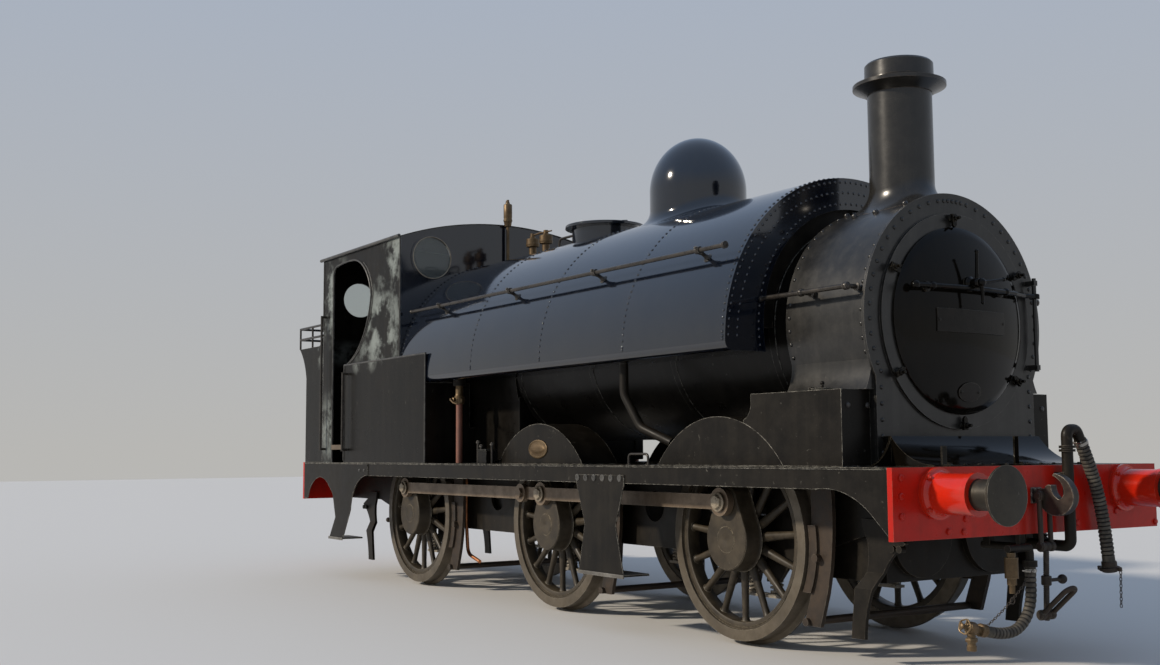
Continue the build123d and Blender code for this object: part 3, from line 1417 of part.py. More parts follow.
# Bunker: sides and flared back round a closed water space
coal_floor_z = cab_floor_z + 90
bunker_corner = 140
corner_cut = bunker_corner * (1 - math.sqrt(0.5))
with BuildPart() as bunker:
    for side in (-1, 1):
        plane, width = between(side, cab_half - cab_sheet, cab_half)
        with BuildSketch(plane):
            with BuildLine():
                Polyline(
                    (cab_back, footplate_z),
                    (cab_back, bunker_top + bunker_corner),
                )
                ThreePointArc(
                    (cab_back, bunker_top + bunker_corner),
                    (cab_back - corner_cut, bunker_top + corner_cut),
                    (cab_back - bunker_corner, bunker_top),
                )
                Polyline(
                    (cab_back - bunker_corner, bunker_top),
                    (bunker_back - bunker_flare, bunker_top),
                )
                ThreePointArc(
                    (bunker_back - bunker_flare, bunker_top),
                    (bunker_back - bunker_flare * 0.32, bunker_flare_z + 180),
                    (bunker_back, bunker_flare_z),
                )
                Polyline((bunker_back, bunker_flare_z), (bunker_back, footplate_z), (cab_back, footplate_z))
            make_face()
        extrude(amount=width)
    with BuildSketch(side_view(cab_half - cab_sheet)):
        with BuildLine():
            Polyline(
                (bunker_back + cab_sheet, footplate_z),
                (bunker_back, footplate_z),
                (bunker_back, bunker_flare_z),
            )
            ThreePointArc(
                (bunker_back, bunker_flare_z),
                (bunker_back - bunker_flare * 0.32, bunker_flare_z + 180),
                (bunker_back - bunker_flare, bunker_top),
            )
            Line((bunker_back - bunker_flare, bunker_top), (bunker_back - bunker_flare + 14, bunker_top))
            ThreePointArc(
                (bunker_back - bunker_flare + 14, bunker_top),
                (bunker_back - bunker_flare * 0.32 + 12, bunker_flare_z + 176),
                (bunker_back + cab_sheet, bunker_flare_z),
            )
            Line((bunker_back + cab_sheet, bunker_flare_z), (bunker_back + cab_sheet, footplate_z))
        make_face()
    extrude(amount=2 * (cab_half - cab_sheet))
    block(
        (bunker_back + cab_sheet, cab_back),
        (-cab_half + cab_sheet, cab_half - cab_sheet),
        (coal_floor_z - 10, coal_floor_z),
    )
save(bunker, "bunker")

# Coal rails above the bunker
rail_radius = 13
rail_rear = bunker_back - bunker_flare + 7
with BuildPart() as coal_rails:
    for height in (110, 232):
        for side in (-1, 1):
            rod_x(rail_radius, (rail_rear, cab_back - 10), side * (cab_half - 5), bunker_top + height)
        rod_y(rail_radius, rail_rear, (-cab_half + 5, cab_half - 5), bunker_top + height)
    for side in (-1, 1):
        for post_x in (rail_rear, cab_back - 330):
            rod_z(11, post_x, side * (cab_half - 5), (bunker_top, bunker_top + 232))
    for post_y in (-400, 400):
        rod_z(11, rail_rear, post_y, (bunker_top, bunker_top + 232))
save(coal_rails, "coal_rails")

# Handrails along the tank and smokebox, and the upright ones at the cab door
handrail_radius = 16
tank_rail_y = tank_radius - 80
tank_rail_z = tank_centre_z + 650
smokebox_rail_y = smokebox_radius + 95
smokebox_rail_z = rail_z + 2295
with BuildPart() as handrails:
    for side in (-1, 1):
        rod_x(handrail_radius, (tank_rear + 125, tank_front - 89), side * tank_rail_y, tank_rail_z)
        for post_x in (tank_rear + 725, tank_rear + 2025, tank_rear + 3325, tank_front - 364):
            tank_angle = math.atan2(tank_rail_z - tank_centre_z, tank_rail_y)
            foot_reach = tank_radius + paint_gap
            with BuildLine() as post_line:
                Line(
                    (
                        post_x,
                        side * foot_reach * math.cos(tank_angle),
                        tank_centre_z + foot_reach * math.sin(tank_angle),
                    ),
                    (post_x, side * tank_rail_y, tank_rail_z),
                )
            with BuildSketch(Plane(origin=post_line.line @ 0, z_dir=post_line.line % 0)):
                Circle(13)
            sweep(path=post_line.line)
            rod_x(handrail_radius + 9, (post_x - 22, post_x + 22), side * tank_rail_y, tank_rail_z)
        rod_x(handrail_radius + 9, (tank_front - 95, tank_front - 73), side * tank_rail_y, tank_rail_z)
        smokebox_rail = (tank_front + 26, smokebox_front - 74)
        rod_x(handrail_radius, smokebox_rail, side * smokebox_rail_y, smokebox_rail_z)
        for knob_x in (smokebox_front - 474, smokebox_front - 74):
            rod_x(handrail_radius + 9, (knob_x - 14, knob_x + 14), side * smokebox_rail_y, smokebox_rail_z)
        stanchion_root = math.sqrt(smokebox_radius**2 - (smokebox_rail_z - boiler_z) ** 2) - 14
        rod_y(12, smokebox_front - 474, (side * stanchion_root, side * smokebox_rail_y), smokebox_rail_z)
    shell = (smokebox_rear + 63, smokebox_front - 364)
    rod_x(smokebox_radius + paint_gap, shell, 0, boiler_z, mode=Mode.SUBTRACT)
save(handrails, "handrails")

with BuildPart() as cab_handrails:
    for side in (-1, 1):
        for rail_x, low, high, face in (
            (door_rear_x - 190, rail_z + 1320, rail_z + 2790, cab_half),
            (side_box_back + 100, rail_z + 1310, rail_z + 2130, side_box_half),
        ):
            rod_z(13, rail_x, side * (face + 60), (low, high))
            for end_z in (low + 13, high - 13):
                rod_y(13, rail_x, (side * face, side * (face + 60)), end_z)
save(cab_handrails, "cab_handrails")

# Pipes under the tank: the balance pipe and the feed pipe with its valve
with BuildPart() as tank_pipes:
    for side in (-1, 1):
        with BuildLine() as balance_line:
            FilletPolyline(
                (1545, side * 1000, tank_bottom - paint_gap),
                (1545, side * 1000, tank_bottom - 230),
                (1700, side * 960, tank_bottom - 480),
                (2000, side * 900, footplate_z + 160),
                radius=120,
            )
        with BuildSketch(Plane(origin=balance_line.line @ 0, z_dir=balance_line.line % 0)):
            Circle(34)
        sweep(path=balance_line.line)
        rod_z(29, -1100, side * 1000, (footplate_z, rail_z + 1740))
        rod_z(44, -1100, side * 1000, (rail_z + 1740, rail_z + 1800))
        rod_z(34, -1100, side * 1000, (rail_z + 1800, rail_z + 1900))
        rod_z(60, -1100, side * 1000, (rail_z + 1900, tank_bottom - 1))
save(tank_pipes, "tank_pipes")

# Front apron between the smokebox and the running plate
apron_front = beam_face - 161.5
apron_back = smokebox_front + 0.5
with BuildPart() as front_apron:
    with BuildSketch(side_view(700)):
        with BuildLine():
            Polyline((apron_back, footplate_z), (apron_back, rail_z + 1372), (apron_back + 66, rail_z + 1372))
            ThreePointArc(
                (apron_back + 66, rail_z + 1372),
                (apron_back + 66 + 0.434 * (apron_front - apron_back - 66), footplate_z + 56),
                (apron_front, footplate_z + 8),
            )
            Polyline((apron_front, footplate_z + 8), (apron_front, footplate_z), (apron_back, footplate_z))
        make_face()
    extrude(amount=1400)
    with BuildSketch(front_view(apron_back + 50)):
        with BuildLine():
            Line((-880, footplate_z), (880, footplate_z))
            ThreePointArc((880, footplate_z), (760, footplate_z + 70), (700, rail_z + 1372))
            Line((700, rail_z + 1372), (-700, rail_z + 1372))
            ThreePointArc((-700, rail_z + 1372), (-760, footplate_z + 70), (-880, footplate_z))
        make_face()
    extrude(amount=14)
    for iron_y, iron_height in ((-650, 120), (0, 178), (650, 120)):
        iron_x = apron_front + 32
        block((iron_x - 5, iron_x + 5), (iron_y - 20, iron_y + 20), (footplate_z, footplate_z + iron_height))
        block((iron_x - 5, iron_x + 62), (iron_y - 20, iron_y + 20), (footplate_z, footplate_z + 10))
        rod_z(11, iron_x + 38, iron_y, (footplate_z, footplate_z + 22))
save(front_apron, "front_apron")

# Vacuum standpipe and steam heating pipe on the front beam
vacuum_x = beam_face + 70
vacuum_y = 225
vacuum_radius = 34
neck_end = (vacuum_y + 127, rail_z + 1343)
neck_start = (neck_end[0] - 34.8, neck_end[1] + 62)
with BuildPart() as vacuum_pipe:
    with BuildLine() as pipe_line:
        FilletPolyline(
            (beam_back - 260, vacuum_y, rail_z + 700),
            (vacuum_x, vacuum_y, rail_z + 700),
            (vacuum_x, vacuum_y, neck_start[1]),
            (vacuum_x, neck_start[0], neck_start[1]),
            (vacuum_x, neck_end[0], neck_end[1]),
            radius=42,
        )
    with BuildSketch(Plane(origin=pipe_line.line @ 0, z_dir=pipe_line.line % 0)):
        Circle(vacuum_radius)
    sweep(path=pipe_line.line)
    for clip_z in (rail_z + 900, rail_z + 1120):
        block((beam_face, vacuum_x), (vacuum_y - 40, vacuum_y + 40), (clip_z, clip_z + 26))
    for union_z in (rail_z + 1270, rail_z + 1292):
        rod_z(vacuum_radius + 14, vacuum_x, vacuum_y, (union_z, union_z + 16))
    block((beam_back - 240, beam_back - 190), (vacuum_y - 30, vacuum_y + 30), (rail_z + 700, footplate_under))
    with BuildLine() as heating_line:
        FilletPolyline(
            (beam_back - 260, heating_y, heating_z),
            (heating_x, heating_y, heating_z),
            (heating_x, heating_y, heating_z - 80),
            radius=34,
        )
    with BuildSketch(Plane(origin=heating_line.line @ 0, z_dir=heating_line.line % 0)):
        Circle(24)
    sweep(path=heating_line.line)
    rod_z(42, heating_x, heating_y, (heating_z - 112, heating_z - 76))
    rod_y(22, heating_x, (relief_y - 30, heating_y), heating_z)
    block((beam_back + 4, beam_face - 4), (heating_y - 24, heating_y + 24), (heating_z, footplate_z - beam_depth))
    block((beam_back - 240, beam_back - 190), (heating_y - 24, heating_y + 24), (heating_z, footplate_under))
save(vacuum_pipe, "vacuum_pipe")


def hose(name, radius, x, points):
    """Hose in the plane across the engine at x, with each bend as large as its two runs allow."""
    route = [Vector(x, y, z) for y, z in points]
    runs = [after - before for before, after in zip(route, route[1:])]
    bends = []
    for before, after in zip(runs, runs[1:]):
        half_turn = math.radians(before.get_angle(after)) / 2
        bends.append(0.45 * min(before.length, after.length) / math.tan(half_turn))
    print(name, "bends", [round(bend) for bend in bends])
    with BuildPart() as hose_part:
        with BuildLine() as hose_line:
            FilletPolyline(*route, radius=bends)
        with BuildSketch(Plane(origin=hose_line.line @ 0, z_dir=hose_line.line % 0)):
            Circle(radius)
        sweep(path=hose_line.line)
    print(name, "length", round(sum(edge.length for edge in hose_line.edges())))
    save(hose_part, name)
    return route[-1], runs[-1].normalized()


# Vacuum hose with its end coupling. It hangs from the neck of the standpipe.
vacuum_hose_radius = 40
vacuum_route = (
    neck_end,
    (neck_end[0] + 34.8 * 3.16, neck_end[1] - 62 * 3.16),
    (vacuum_y + 312, rail_z + 927),
    (vacuum_y + 350, rail_z + 715),
    (vacuum_y + 366, rail_z + 590),
)
hose_foot, hose_way = hose("vacuum_hose", vacuum_hose_radius, vacuum_x, vacuum_route)
with BuildPart() as hose_coupling:
    with BuildSketch(Plane(origin=hose_foot, z_dir=hose_way)):
        Circle(vacuum_hose_radius + 6)
    extrude(amount=34)
    with BuildSketch(Plane(origin=hose_foot + hose_way * 34, z_dir=hose_way)):
        Circle(62)
        Rectangle(150, 50)
    extrude(amount=20)
    with BuildSketch(Plane(origin=hose_foot + hose_way * 54, z_dir=hose_way)):
        Circle(46)
    extrude(amount=10)
save(hose_coupling, "hose_coupling")

# Heating hose and the brass cock that closes it, with a wheel on its spindle and a capped outlet
heating_hose_radius = 33
heating_route = [(heating_y, heating_z - 112), (heating_y, heating_z - 206), (heating_y - 3, heating_z - 302)]
for turn in (20.6, 41.2, 61.8, 82.4):
    last = heating_route[-1]
    way = math.radians(turn)
    heating_route.append((last[0] - 78 * math.sin(way), last[1] - 78 * math.cos(way)))
heating_route.append((heating_route[-1][0] - 110, heating_route[-1][1] + 9))
heating_route.append((heating_route[-1][0] - 88, heating_route[-1][1] + 20))
cock_start, cock_way = hose("heating_hose", heating_hose_radius, heating_x, heating_route)
with BuildPart() as heating_cock:
    for start, length, radius in ((0, 44, 38), (40, 96, 22), (84, 60, 36), (136, 66, 12), (186, 16, 16)):
        with BuildSketch(Plane(origin=cock_start + cock_way * start, z_dir=cock_way)):
            Circle(radius)
        extrude(amount=length)
    with BuildSketch(Plane(origin=cock_start + cock_way * 162, z_dir=cock_way)):
        Circle(46)
        Circle(37, mode=Mode.SUBTRACT)
        for spoke in range(2):
            with Locations((0, 0)):
                Rectangle(78, 9, rotation=90 * spoke)
        Circle(13)
    extrude(amount=12)
    outlet = cock_start + cock_way * 114
    rod_z(24, outlet.X, outlet.Y, (outlet.Z - 96, outlet.Z))
    rod_z(31, outlet.X, outlet.Y, (outlet.Z - 78, outlet.Z - 56))
    rod_z(28, outlet.X, outlet.Y, (outlet.Z - 128, outlet.Z - 96))
save(heating_cock, "heating_cock")
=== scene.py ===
from math import acos, atan2, cos, hypot, pi, radians, sin, sqrt, tan
import bpy
import bmesh
from mathutils import Matrix, Vector


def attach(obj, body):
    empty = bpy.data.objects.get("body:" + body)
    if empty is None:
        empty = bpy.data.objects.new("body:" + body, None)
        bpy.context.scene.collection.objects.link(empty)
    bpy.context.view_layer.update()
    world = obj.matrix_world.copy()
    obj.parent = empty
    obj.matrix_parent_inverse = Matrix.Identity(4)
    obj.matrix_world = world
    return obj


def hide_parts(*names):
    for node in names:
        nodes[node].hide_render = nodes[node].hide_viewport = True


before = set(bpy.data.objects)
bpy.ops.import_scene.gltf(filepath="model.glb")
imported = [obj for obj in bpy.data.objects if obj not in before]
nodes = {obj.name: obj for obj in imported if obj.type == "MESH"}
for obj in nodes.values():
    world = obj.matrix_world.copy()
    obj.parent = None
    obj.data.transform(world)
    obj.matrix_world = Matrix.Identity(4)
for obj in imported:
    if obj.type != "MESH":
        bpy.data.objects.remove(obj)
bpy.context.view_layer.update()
scene = bpy.context.scene
scene.view_settings.view_transform = "Standard"

# Camera: where the photographer stood, beyond the right front corner and a little over the rods
camera_place = Vector((9.4398, -6.5615, 1.3180))
camera_yaw = radians(-56.79)
camera_pitch = radians(5.303)
camera_roll = radians(-0.352)
camera_focal_px = 1282.13
photo_width_px = 1160
ahead = Vector((sin(camera_yaw) * cos(camera_pitch), cos(camera_yaw) * cos(camera_pitch), sin(camera_pitch)))
level_right = Vector((cos(camera_yaw), -sin(camera_yaw), 0.0))
level_up = level_right.cross(ahead)
camera_right = cos(camera_roll) * level_right + sin(camera_roll) * level_up
camera_up = -sin(camera_roll) * level_right + cos(camera_roll) * level_up
camera_data = bpy.data.cameras.new("camera")
camera_data.sensor_fit = "HORIZONTAL"
camera_data.sensor_width = 36.0
camera_data.lens = 36.0 * camera_focal_px / photo_width_px
camera_data.clip_end = 200
camera = bpy.data.objects.new("camera", camera_data)
turn = Matrix((camera_right, camera_up, -ahead)).transposed().to_4x4()
camera.matrix_world = Matrix.Translation(camera_place) @ turn
scene.collection.objects.link(camera)
scene.camera = camera

# The engine's main sizes, in metres
rail_z = 0.0286
axle_z = 0.7146
axle_x = {"front": 2.5995, "middle": 0.2645, "rear": -2.3315}
plate_z = 1.2176
beam_x = 4.4215
boiler_z = 2.1436
tank_z = 2.0336
tank_radius = 1.205
tank_bottom = 1.9736
tank_rear, tank_front = -1.980, 2.984
tank_arch = 0.870
smokebox_radius = 0.810
smokebox_front = 3.864
chimney_x = 3.4375
sides = (-1, 1)
fore, left, up = (1, 0, 0), (0, 1, 0), (0, 0, 1)


# Making materials
def fresh(name):
    """A new material with its node tree and shader."""
    material = bpy.data.materials.new(name)
    material.use_nodes = True
    return material, material.node_tree, material.node_tree.nodes["Principled BSDF"]


def add(tree, kind, values=None, **settings):
    """A node with its settings, and with values or links on its inputs."""
    node = tree.nodes.new(kind)
    for key, value in settings.items():
        setattr(node, key, value)
    for key, value in (values or {}).items():
        if isinstance(value, bpy.types.NodeSocket):
            tree.links.new(value, node.inputs[key])
        else:
            node.inputs[key].default_value = value
    return node


def noise(tree, vector, scale, detail=4.0, rough=0.55):
    """Cloudy pattern from 0 to 1."""
    values = {"Vector": vector, "Scale": scale, "Detail": detail, "Roughness": rough}
    return add(tree, "ShaderNodeTexNoise", values).outputs["Fac"]


def stretched(tree, vector, scale):
    """Coordinates scaled on each axis, which makes streaks of a pattern."""
    return add(tree, "ShaderNodeMapping", {"Vector": vector, "Scale": scale}).outputs["Vector"]


def between(tree, value, low, high, start=0.0, end=1.0):
    """A value stretched from low...high to start...end, and held there."""
    values = {"Value": value, "From Min": low, "From Max": high, "To Min": start, "To Max": end}
    return add(tree, "ShaderNodeMapRange", values, clamp=True).outputs["Result"]


def sums(tree, operation, first, second):
    """Arithmetic on two numbers."""
    return add(tree, "ShaderNodeMath", {0: first, 1: second}, operation=operation).outputs[0]


def blended(tree, amount, first, second):
    """One colour laid over another."""
    node = add(tree, "ShaderNodeMix", data_type="RGBA")
    for index, value in ((0, amount), (6, first), (7, second)):
        if isinstance(value, bpy.types.NodeSocket):
            tree.links.new(value, node.inputs[index])
        else:
            node.inputs[index].default_value = value if index == 0 else (*value, 1)
    return node.outputs[2]


def measured(tree, operation, first, second):
    """A number from two vectors."""
    return add(tree, "ShaderNodeVectorMath", {0: first, 1: second}, operation=operation).outputs["Value"]


def edges(tree, radius):
    """1 on sharp outer edges and 0 on flat faces."""
    rounded = add(tree, "ShaderNodeBevel", {"Radius": radius}, samples=4).outputs["Normal"]
    normal = add(tree, "ShaderNodeNewGeometry").outputs["Normal"]
    return between(tree, measured(tree, "DOT_PRODUCT", rounded, normal), 0.97, 0.80)


def painted(
    name, base, second, rough, grime, grime_amount, streaks=0.0, worn=(0.4, 0.4, 0.38), wear=0.0, spots=0.0,
    coat=0.0, bump=0.15, patches=None, patch_amount=0.0, patch_spots=(), metal=0.0, edge=0.006, scale=1.0,
    specular=0.5,
):
    """Paint or bare metal with clouds, streaks of grime, spots, patches of lost paint and worn edges."""
    material, tree, shader = fresh(name)
    place = add(tree, "ShaderNodeTexCoord").outputs["Object"]
    cloud = noise(tree, place, 2.2 * scale, 7, 0.6)
    fine = noise(tree, place, 70 * scale, 4, 0.6)
    colour = blended(tree, between(tree, cloud, 0.35, 0.7), base, second)

    def lay(mask, amount, over):
        """Put a colour over the paint where the mask is."""
        nonlocal colour
        colour = blended(tree, sums(tree, "MULTIPLY", mask, amount), colour, over)

    if patches:
        flat = stretched(tree, place, (1, 0, 1))
        worn_place = 0.0
        for x, z, reach in patch_spots:
            near = between(tree, measured(tree, "DISTANCE", flat, (x, 0, z)), reach * 0.3, reach, 1.0, 0.0)
            worn_place = sums(tree, "MAXIMUM", worn_place, near)
        patchy = noise(tree, place, 3.6 * scale, 9, 0.68)
        lay(between(tree, patchy, 0.47, 0.60, 0.0, patch_amount), worn_place, patches)
    if streaks:
        run = noise(tree, stretched(tree, place, (11 * scale, 11 * scale, 0.8 * scale)), 1.0, 6, 0.62)
        lay(between(tree, run, 0.48, 0.75), streaks, grime)
    dirty = noise(tree, place, 7 * scale, 8, 0.7)
    lay(between(tree, dirty, 0.42, 0.75), grime_amount, grime)
    if spots:
        lay(between(tree, noise(tree, place, 26 * scale, 5, 0.62), 0.66, 0.76), spots, worn)
    if wear:
        broken = between(tree, noise(tree, place, 18 * scale, 6, 0.7), 0.38, 0.6)
        lay(sums(tree, "MULTIPLY", edges(tree, edge), broken), wear, worn)
    tree.links.new(colour, shader.inputs["Base Color"])
    low, high = rough
    tree.links.new(between(tree, dirty, 0.3, 0.75, low, high), shader.inputs["Roughness"])
    shader.inputs["Metallic"].default_value = metal
    shader.inputs["Specular IOR Level"].default_value = specular
    if coat:
        shader.inputs["Coat Weight"].default_value = coat
        shader.inputs["Coat Roughness"].default_value = 0.06
    if bump:
        lumps = add(tree, "ShaderNodeBump", {"Strength": bump, "Distance": 0.002, "Height": fine})
        tree.links.new(lumps.outputs["Normal"], shader.inputs["Normal"])
    return material


gloss_black = painted(
    "gloss_black", (0.0022, 0.0042, 0.0095), (0.0040, 0.0063, 0.0120), (0.06, 0.14), (0.026, 0.024, 0.021),
    0.12, streaks=0.10, worn=(0.30, 0.30, 0.29), wear=0.25, coat=0.45, bump=0.03, scale=0.7, specular=0.75,
)
smokebox_black = painted(
    "smokebox_black", (0.0072, 0.0068, 0.0062), (0.0105, 0.0098, 0.0088), (0.27, 0.36), (0.075, 0.070, 0.060),
    0.22, streaks=0.22, worn=(0.40, 0.37, 0.32), wear=0.4, spots=0.10, bump=0.06, specular=0.5,
)
door_black = painted(
    "door_black", (0.0022, 0.0020, 0.0015), (0.0046, 0.0036, 0.0024), (0.06, 0.14), (0.016, 0.011, 0.006),
    0.15, streaks=0.15, worn=(0.35, 0.30, 0.22), wear=0.3, bump=0.04, specular=0.16,
)
chimney_black = painted(
    "chimney_black", (0.0080, 0.0072, 0.0062), (0.0150, 0.0135, 0.0115), (0.20, 0.30), (0.050, 0.046, 0.038),
    0.25, streaks=0.25, worn=(0.30, 0.22, 0.15), wear=0.4, bump=0.06, specular=0.55,
)
cab_black = painted(
    "cab_black", (0.0034, 0.0029, 0.0023), (0.0070, 0.0057, 0.0043), (0.28, 0.48), (0.026, 0.023, 0.019),
    0.20, streaks=0.3, worn=(0.46, 0.48, 0.46), wear=0.9, spots=0.2, patches=(0.25, 0.28, 0.265),
    patch_amount=0.85,
    patch_spots=((-2.42, 2.55, 0.75), (-3.72, 3.00, 0.60), (-2.05, 3.25, 0.45), (-3.70, 1.60, 0.45)),
    bump=0.12, edge=0.012, specular=0.15,
)
box_black = painted(
    "box_black", (0.0030, 0.0026, 0.0021), (0.0060, 0.0048, 0.0036), (0.24, 0.42), (0.022, 0.0195, 0.0155),
    0.22, streaks=0.3, worn=(0.34, 0.33, 0.29), wear=0.7, spots=0.15, patches=(0.22, 0.24, 0.225),
    patch_amount=0.7,
    patch_spots=((-2.95, 2.27, 0.16), (-2.60, 2.28, 0.17), (-2.30, 2.28, 0.14), (-4.05, 2.42, 0.20)),
    bump=0.10, edge=0.01, specular=0.15,
)
plate_black = painted(
    "plate_black", (0.0042, 0.0034, 0.0025), (0.0090, 0.0072, 0.0050), (0.30, 0.50), (0.032, 0.027, 0.020),
    0.25, streaks=0.25, worn=(0.42, 0.40, 0.34), wear=0.9, spots=0.2, bump=0.15, edge=0.008, specular=0.16,
)
frame_black = painted(
    "frame_black", (0.0050, 0.0041, 0.0031), (0.0105, 0.0082, 0.0056), (0.35, 0.60), (0.032, 0.026, 0.018),
    0.35, streaks=0.3, worn=(0.24, 0.21, 0.165), wear=0.5, spots=0.12, bump=0.25, specular=0.18,
)
wheel_grey = painted(
    "wheel_grey", (0.020, 0.0155, 0.0100), (0.043, 0.033, 0.021), (0.36, 0.60), (0.105, 0.083, 0.053), 0.4,
    worn=(0.46, 0.40, 0.29), wear=0.85, spots=0.2, bump=0.3, edge=0.006, scale=1.6, specular=0.3,
)
tyre_steel = painted(
    "tyre_steel", (0.085, 0.071, 0.053), (0.15, 0.126, 0.094), (0.34, 0.60), (0.06, 0.045, 0.028), 0.7,
    worn=(0.5, 0.46, 0.38), wear=0.5, metal=0.45, bump=0.25, scale=1.6, specular=0.4,
)
rod_steel = painted(
    "rod_steel", (0.135, 0.097, 0.064), (0.205, 0.152, 0.105), (0.30, 0.52), (0.045, 0.031, 0.020), 0.6,
    worn=(0.58, 0.51, 0.40), wear=0.6, metal=0.4, bump=0.25, scale=1.6, specular=0.4,
)
bright_steel = painted(
    "bright_steel", (0.34, 0.33, 0.31), (0.46, 0.45, 0.42), (0.22, 0.42), (0.15, 0.13, 0.10), 0.5,
    worn=(0.7, 0.68, 0.62), wear=0.3, metal=0.85, bump=0.12, scale=1.6,
)
head_steel = painted(
    "head_steel", (0.019, 0.016, 0.012), (0.040, 0.034, 0.025), (0.34, 0.55), (0.075, 0.064, 0.046), 0.4,
    worn=(0.40, 0.37, 0.30), wear=0.8, metal=0.4, spots=0.25, bump=0.2, scale=1.6, specular=0.35,
)
rusty_iron = painted(
    "rusty_iron", (0.017, 0.014, 0.0115), (0.042, 0.029, 0.020), (0.42, 0.72), (0.075, 0.050, 0.032), 0.55,
    worn=(0.30, 0.27, 0.22), wear=0.5, spots=0.2, metal=0.2, bump=0.4, scale=1.6, specular=0.35,
)
beam_red = painted(
    "beam_red", (0.40, 0.0085, 0.0032), (0.50, 0.0140, 0.0060), (0.24, 0.42), (0.085, 0.016, 0.008), 0.35,
    streaks=0.3, worn=(0.30, 0.19, 0.13), wear=0.5, spots=0.1, coat=0.05, bump=0.08, specular=0.22,
)
housing_red = painted(
    "housing_red", (0.50, 0.013, 0.0036), (0.62, 0.022, 0.0065), (0.12, 0.28), (0.15, 0.022, 0.009), 0.25,
    streaks=0.15, worn=(0.35, 0.16, 0.10), wear=0.4, coat=0.3, bump=0.04, specular=0.4,
)
brass = painted(
    "brass", (0.100, 0.064, 0.030), (0.165, 0.110, 0.055), (0.34, 0.60), (0.045, 0.031, 0.018), 0.75,
    worn=(0.55, 0.43, 0.25), wear=0.6, metal=0.6, bump=0.25, scale=2.5,
)
pipe_rust = painted(
    "pipe_rust", (0.16, 0.060, 0.040), (0.22, 0.085, 0.055), (0.45, 0.7), (0.08, 0.05, 0.04), 0.5,
    worn=(0.3, 0.2, 0.15), wear=0.3, bump=0.3, scale=2,
)
rail_steel = painted(
    "rail_steel", (0.020, 0.017, 0.0145), (0.045, 0.038, 0.031), (0.22, 0.40), (0.095, 0.082, 0.066), 0.45,
    worn=(0.6, 0.56, 0.48), wear=0.5, metal=0.4, bump=0.15, scale=2,
)
copper = painted(
    "copper", (0.52, 0.19, 0.08), (0.66, 0.28, 0.13), (0.3, 0.5), (0.16, 0.08, 0.05), 0.5,
    worn=(0.8, 0.5, 0.3), wear=0.3, metal=0.85, bump=0.15, scale=2.5,
)
hose_rubber = painted(
    "hose_rubber", (0.030, 0.027, 0.023), (0.075, 0.067, 0.054), (0.55, 0.85), (0.22, 0.195, 0.155), 0.6,
    worn=(0.36, 0.33, 0.27), wear=0.8, bump=0.3, edge=0.004, scale=2.5, specular=0.3,
)
# Painted shade on the hoses: the rubber colour is darkened to near-black in the rib valleys, where shade
# falls between the ridges, using the rib attribute that each hose carries
rib_tree = hose_rubber.node_tree
rib_shader = rib_tree.nodes["Principled BSDF"]
rubber_colour = rib_shader.inputs["Base Color"].links[0].from_socket
rib_crest = add(rib_tree, "ShaderNodeAttribute", attribute_name="rib").outputs["Fac"]
valley_shade_mask = between(rib_tree, rib_crest, 0.35, 0.9, 1.0, 0.0)
painted_valley_shade = blended(rib_tree, valley_shade_mask, rubber_colour, (0.008, 0.007, 0.006))
rib_tree.links.new(painted_valley_shade, rib_shader.inputs["Base Color"])
floor_boards = painted(
    "floor_boards", (0.085, 0.060, 0.040), (0.15, 0.11, 0.075), (0.6, 0.85), (0.05, 0.04, 0.03), 0.6,
    streaks=0.3, bump=0.4,
)
nut_steel = painted(
    "nut_steel", (0.26, 0.215, 0.155), (0.36, 0.305, 0.225), (0.34, 0.55), (0.07, 0.05, 0.035), 0.6,
    worn=(0.62, 0.56, 0.45), wear=0.7, metal=0.35, bump=0.25, scale=2.5,
)
spring_grey = painted(
    "spring_grey", (0.24, 0.215, 0.175), (0.34, 0.305, 0.25), (0.45, 0.7), (0.08, 0.065, 0.05), 0.6,
    worn=(0.5, 0.46, 0.38), wear=0.5, metal=0.1, bump=0.3, scale=2.5,
)
hook_iron = painted(
    "hook_iron", (0.018, 0.016, 0.015), (0.040, 0.032, 0.026), (0.30, 0.52), (0.085, 0.06, 0.04), 0.5,
    worn=(0.52, 0.47, 0.38), wear=0.9, metal=0.4, bump=0.3, edge=0.012, scale=2,
)
bead_paint = painted(
    "bead_paint", (0.020, 0.019, 0.018), (0.045, 0.042, 0.038), (0.26, 0.45), (0.16, 0.155, 0.14), 0.5,
    worn=(0.42, 0.42, 0.39), wear=0.6, bump=0.15, scale=2, specular=0.4,
)
tread_iron = painted(
    "tread_iron", (0.10, 0.095, 0.085), (0.20, 0.19, 0.17), (0.34, 0.6), (0.05, 0.042, 0.034), 0.6,
    worn=(0.5, 0.48, 0.43), wear=0.7, metal=0.3, bump=0.4, scale=2,
)
plate_paint = painted(
    "plate_paint", (0.0050, 0.0042, 0.0034), (0.0100, 0.0080, 0.0060), (0.24, 0.42), (0.035, 0.028, 0.020),
    0.3, worn=(0.42, 0.38, 0.30), wear=0.7, bump=0.1, edge=0.005, scale=2.5, specular=0.2,
)
window_glass, glass_tree, glass_shader = fresh("window_glass")
glass_shader.inputs["Base Color"].default_value = (0.72, 0.77, 0.74, 1)
glass_shader.inputs["Transmission Weight"].default_value = 0.92
glass_shader.inputs["IOR"].default_value = 1.46
glass_place = add(glass_tree, "ShaderNodeTexCoord").outputs["Object"]
glass_dust = noise(glass_tree, glass_place, 9, 6, 0.6)
glass_rough = between(glass_tree, glass_dust, 0.35, 0.75, 0.01, 0.08)
glass_tree.links.new(glass_rough, glass_shader.inputs["Roughness"])


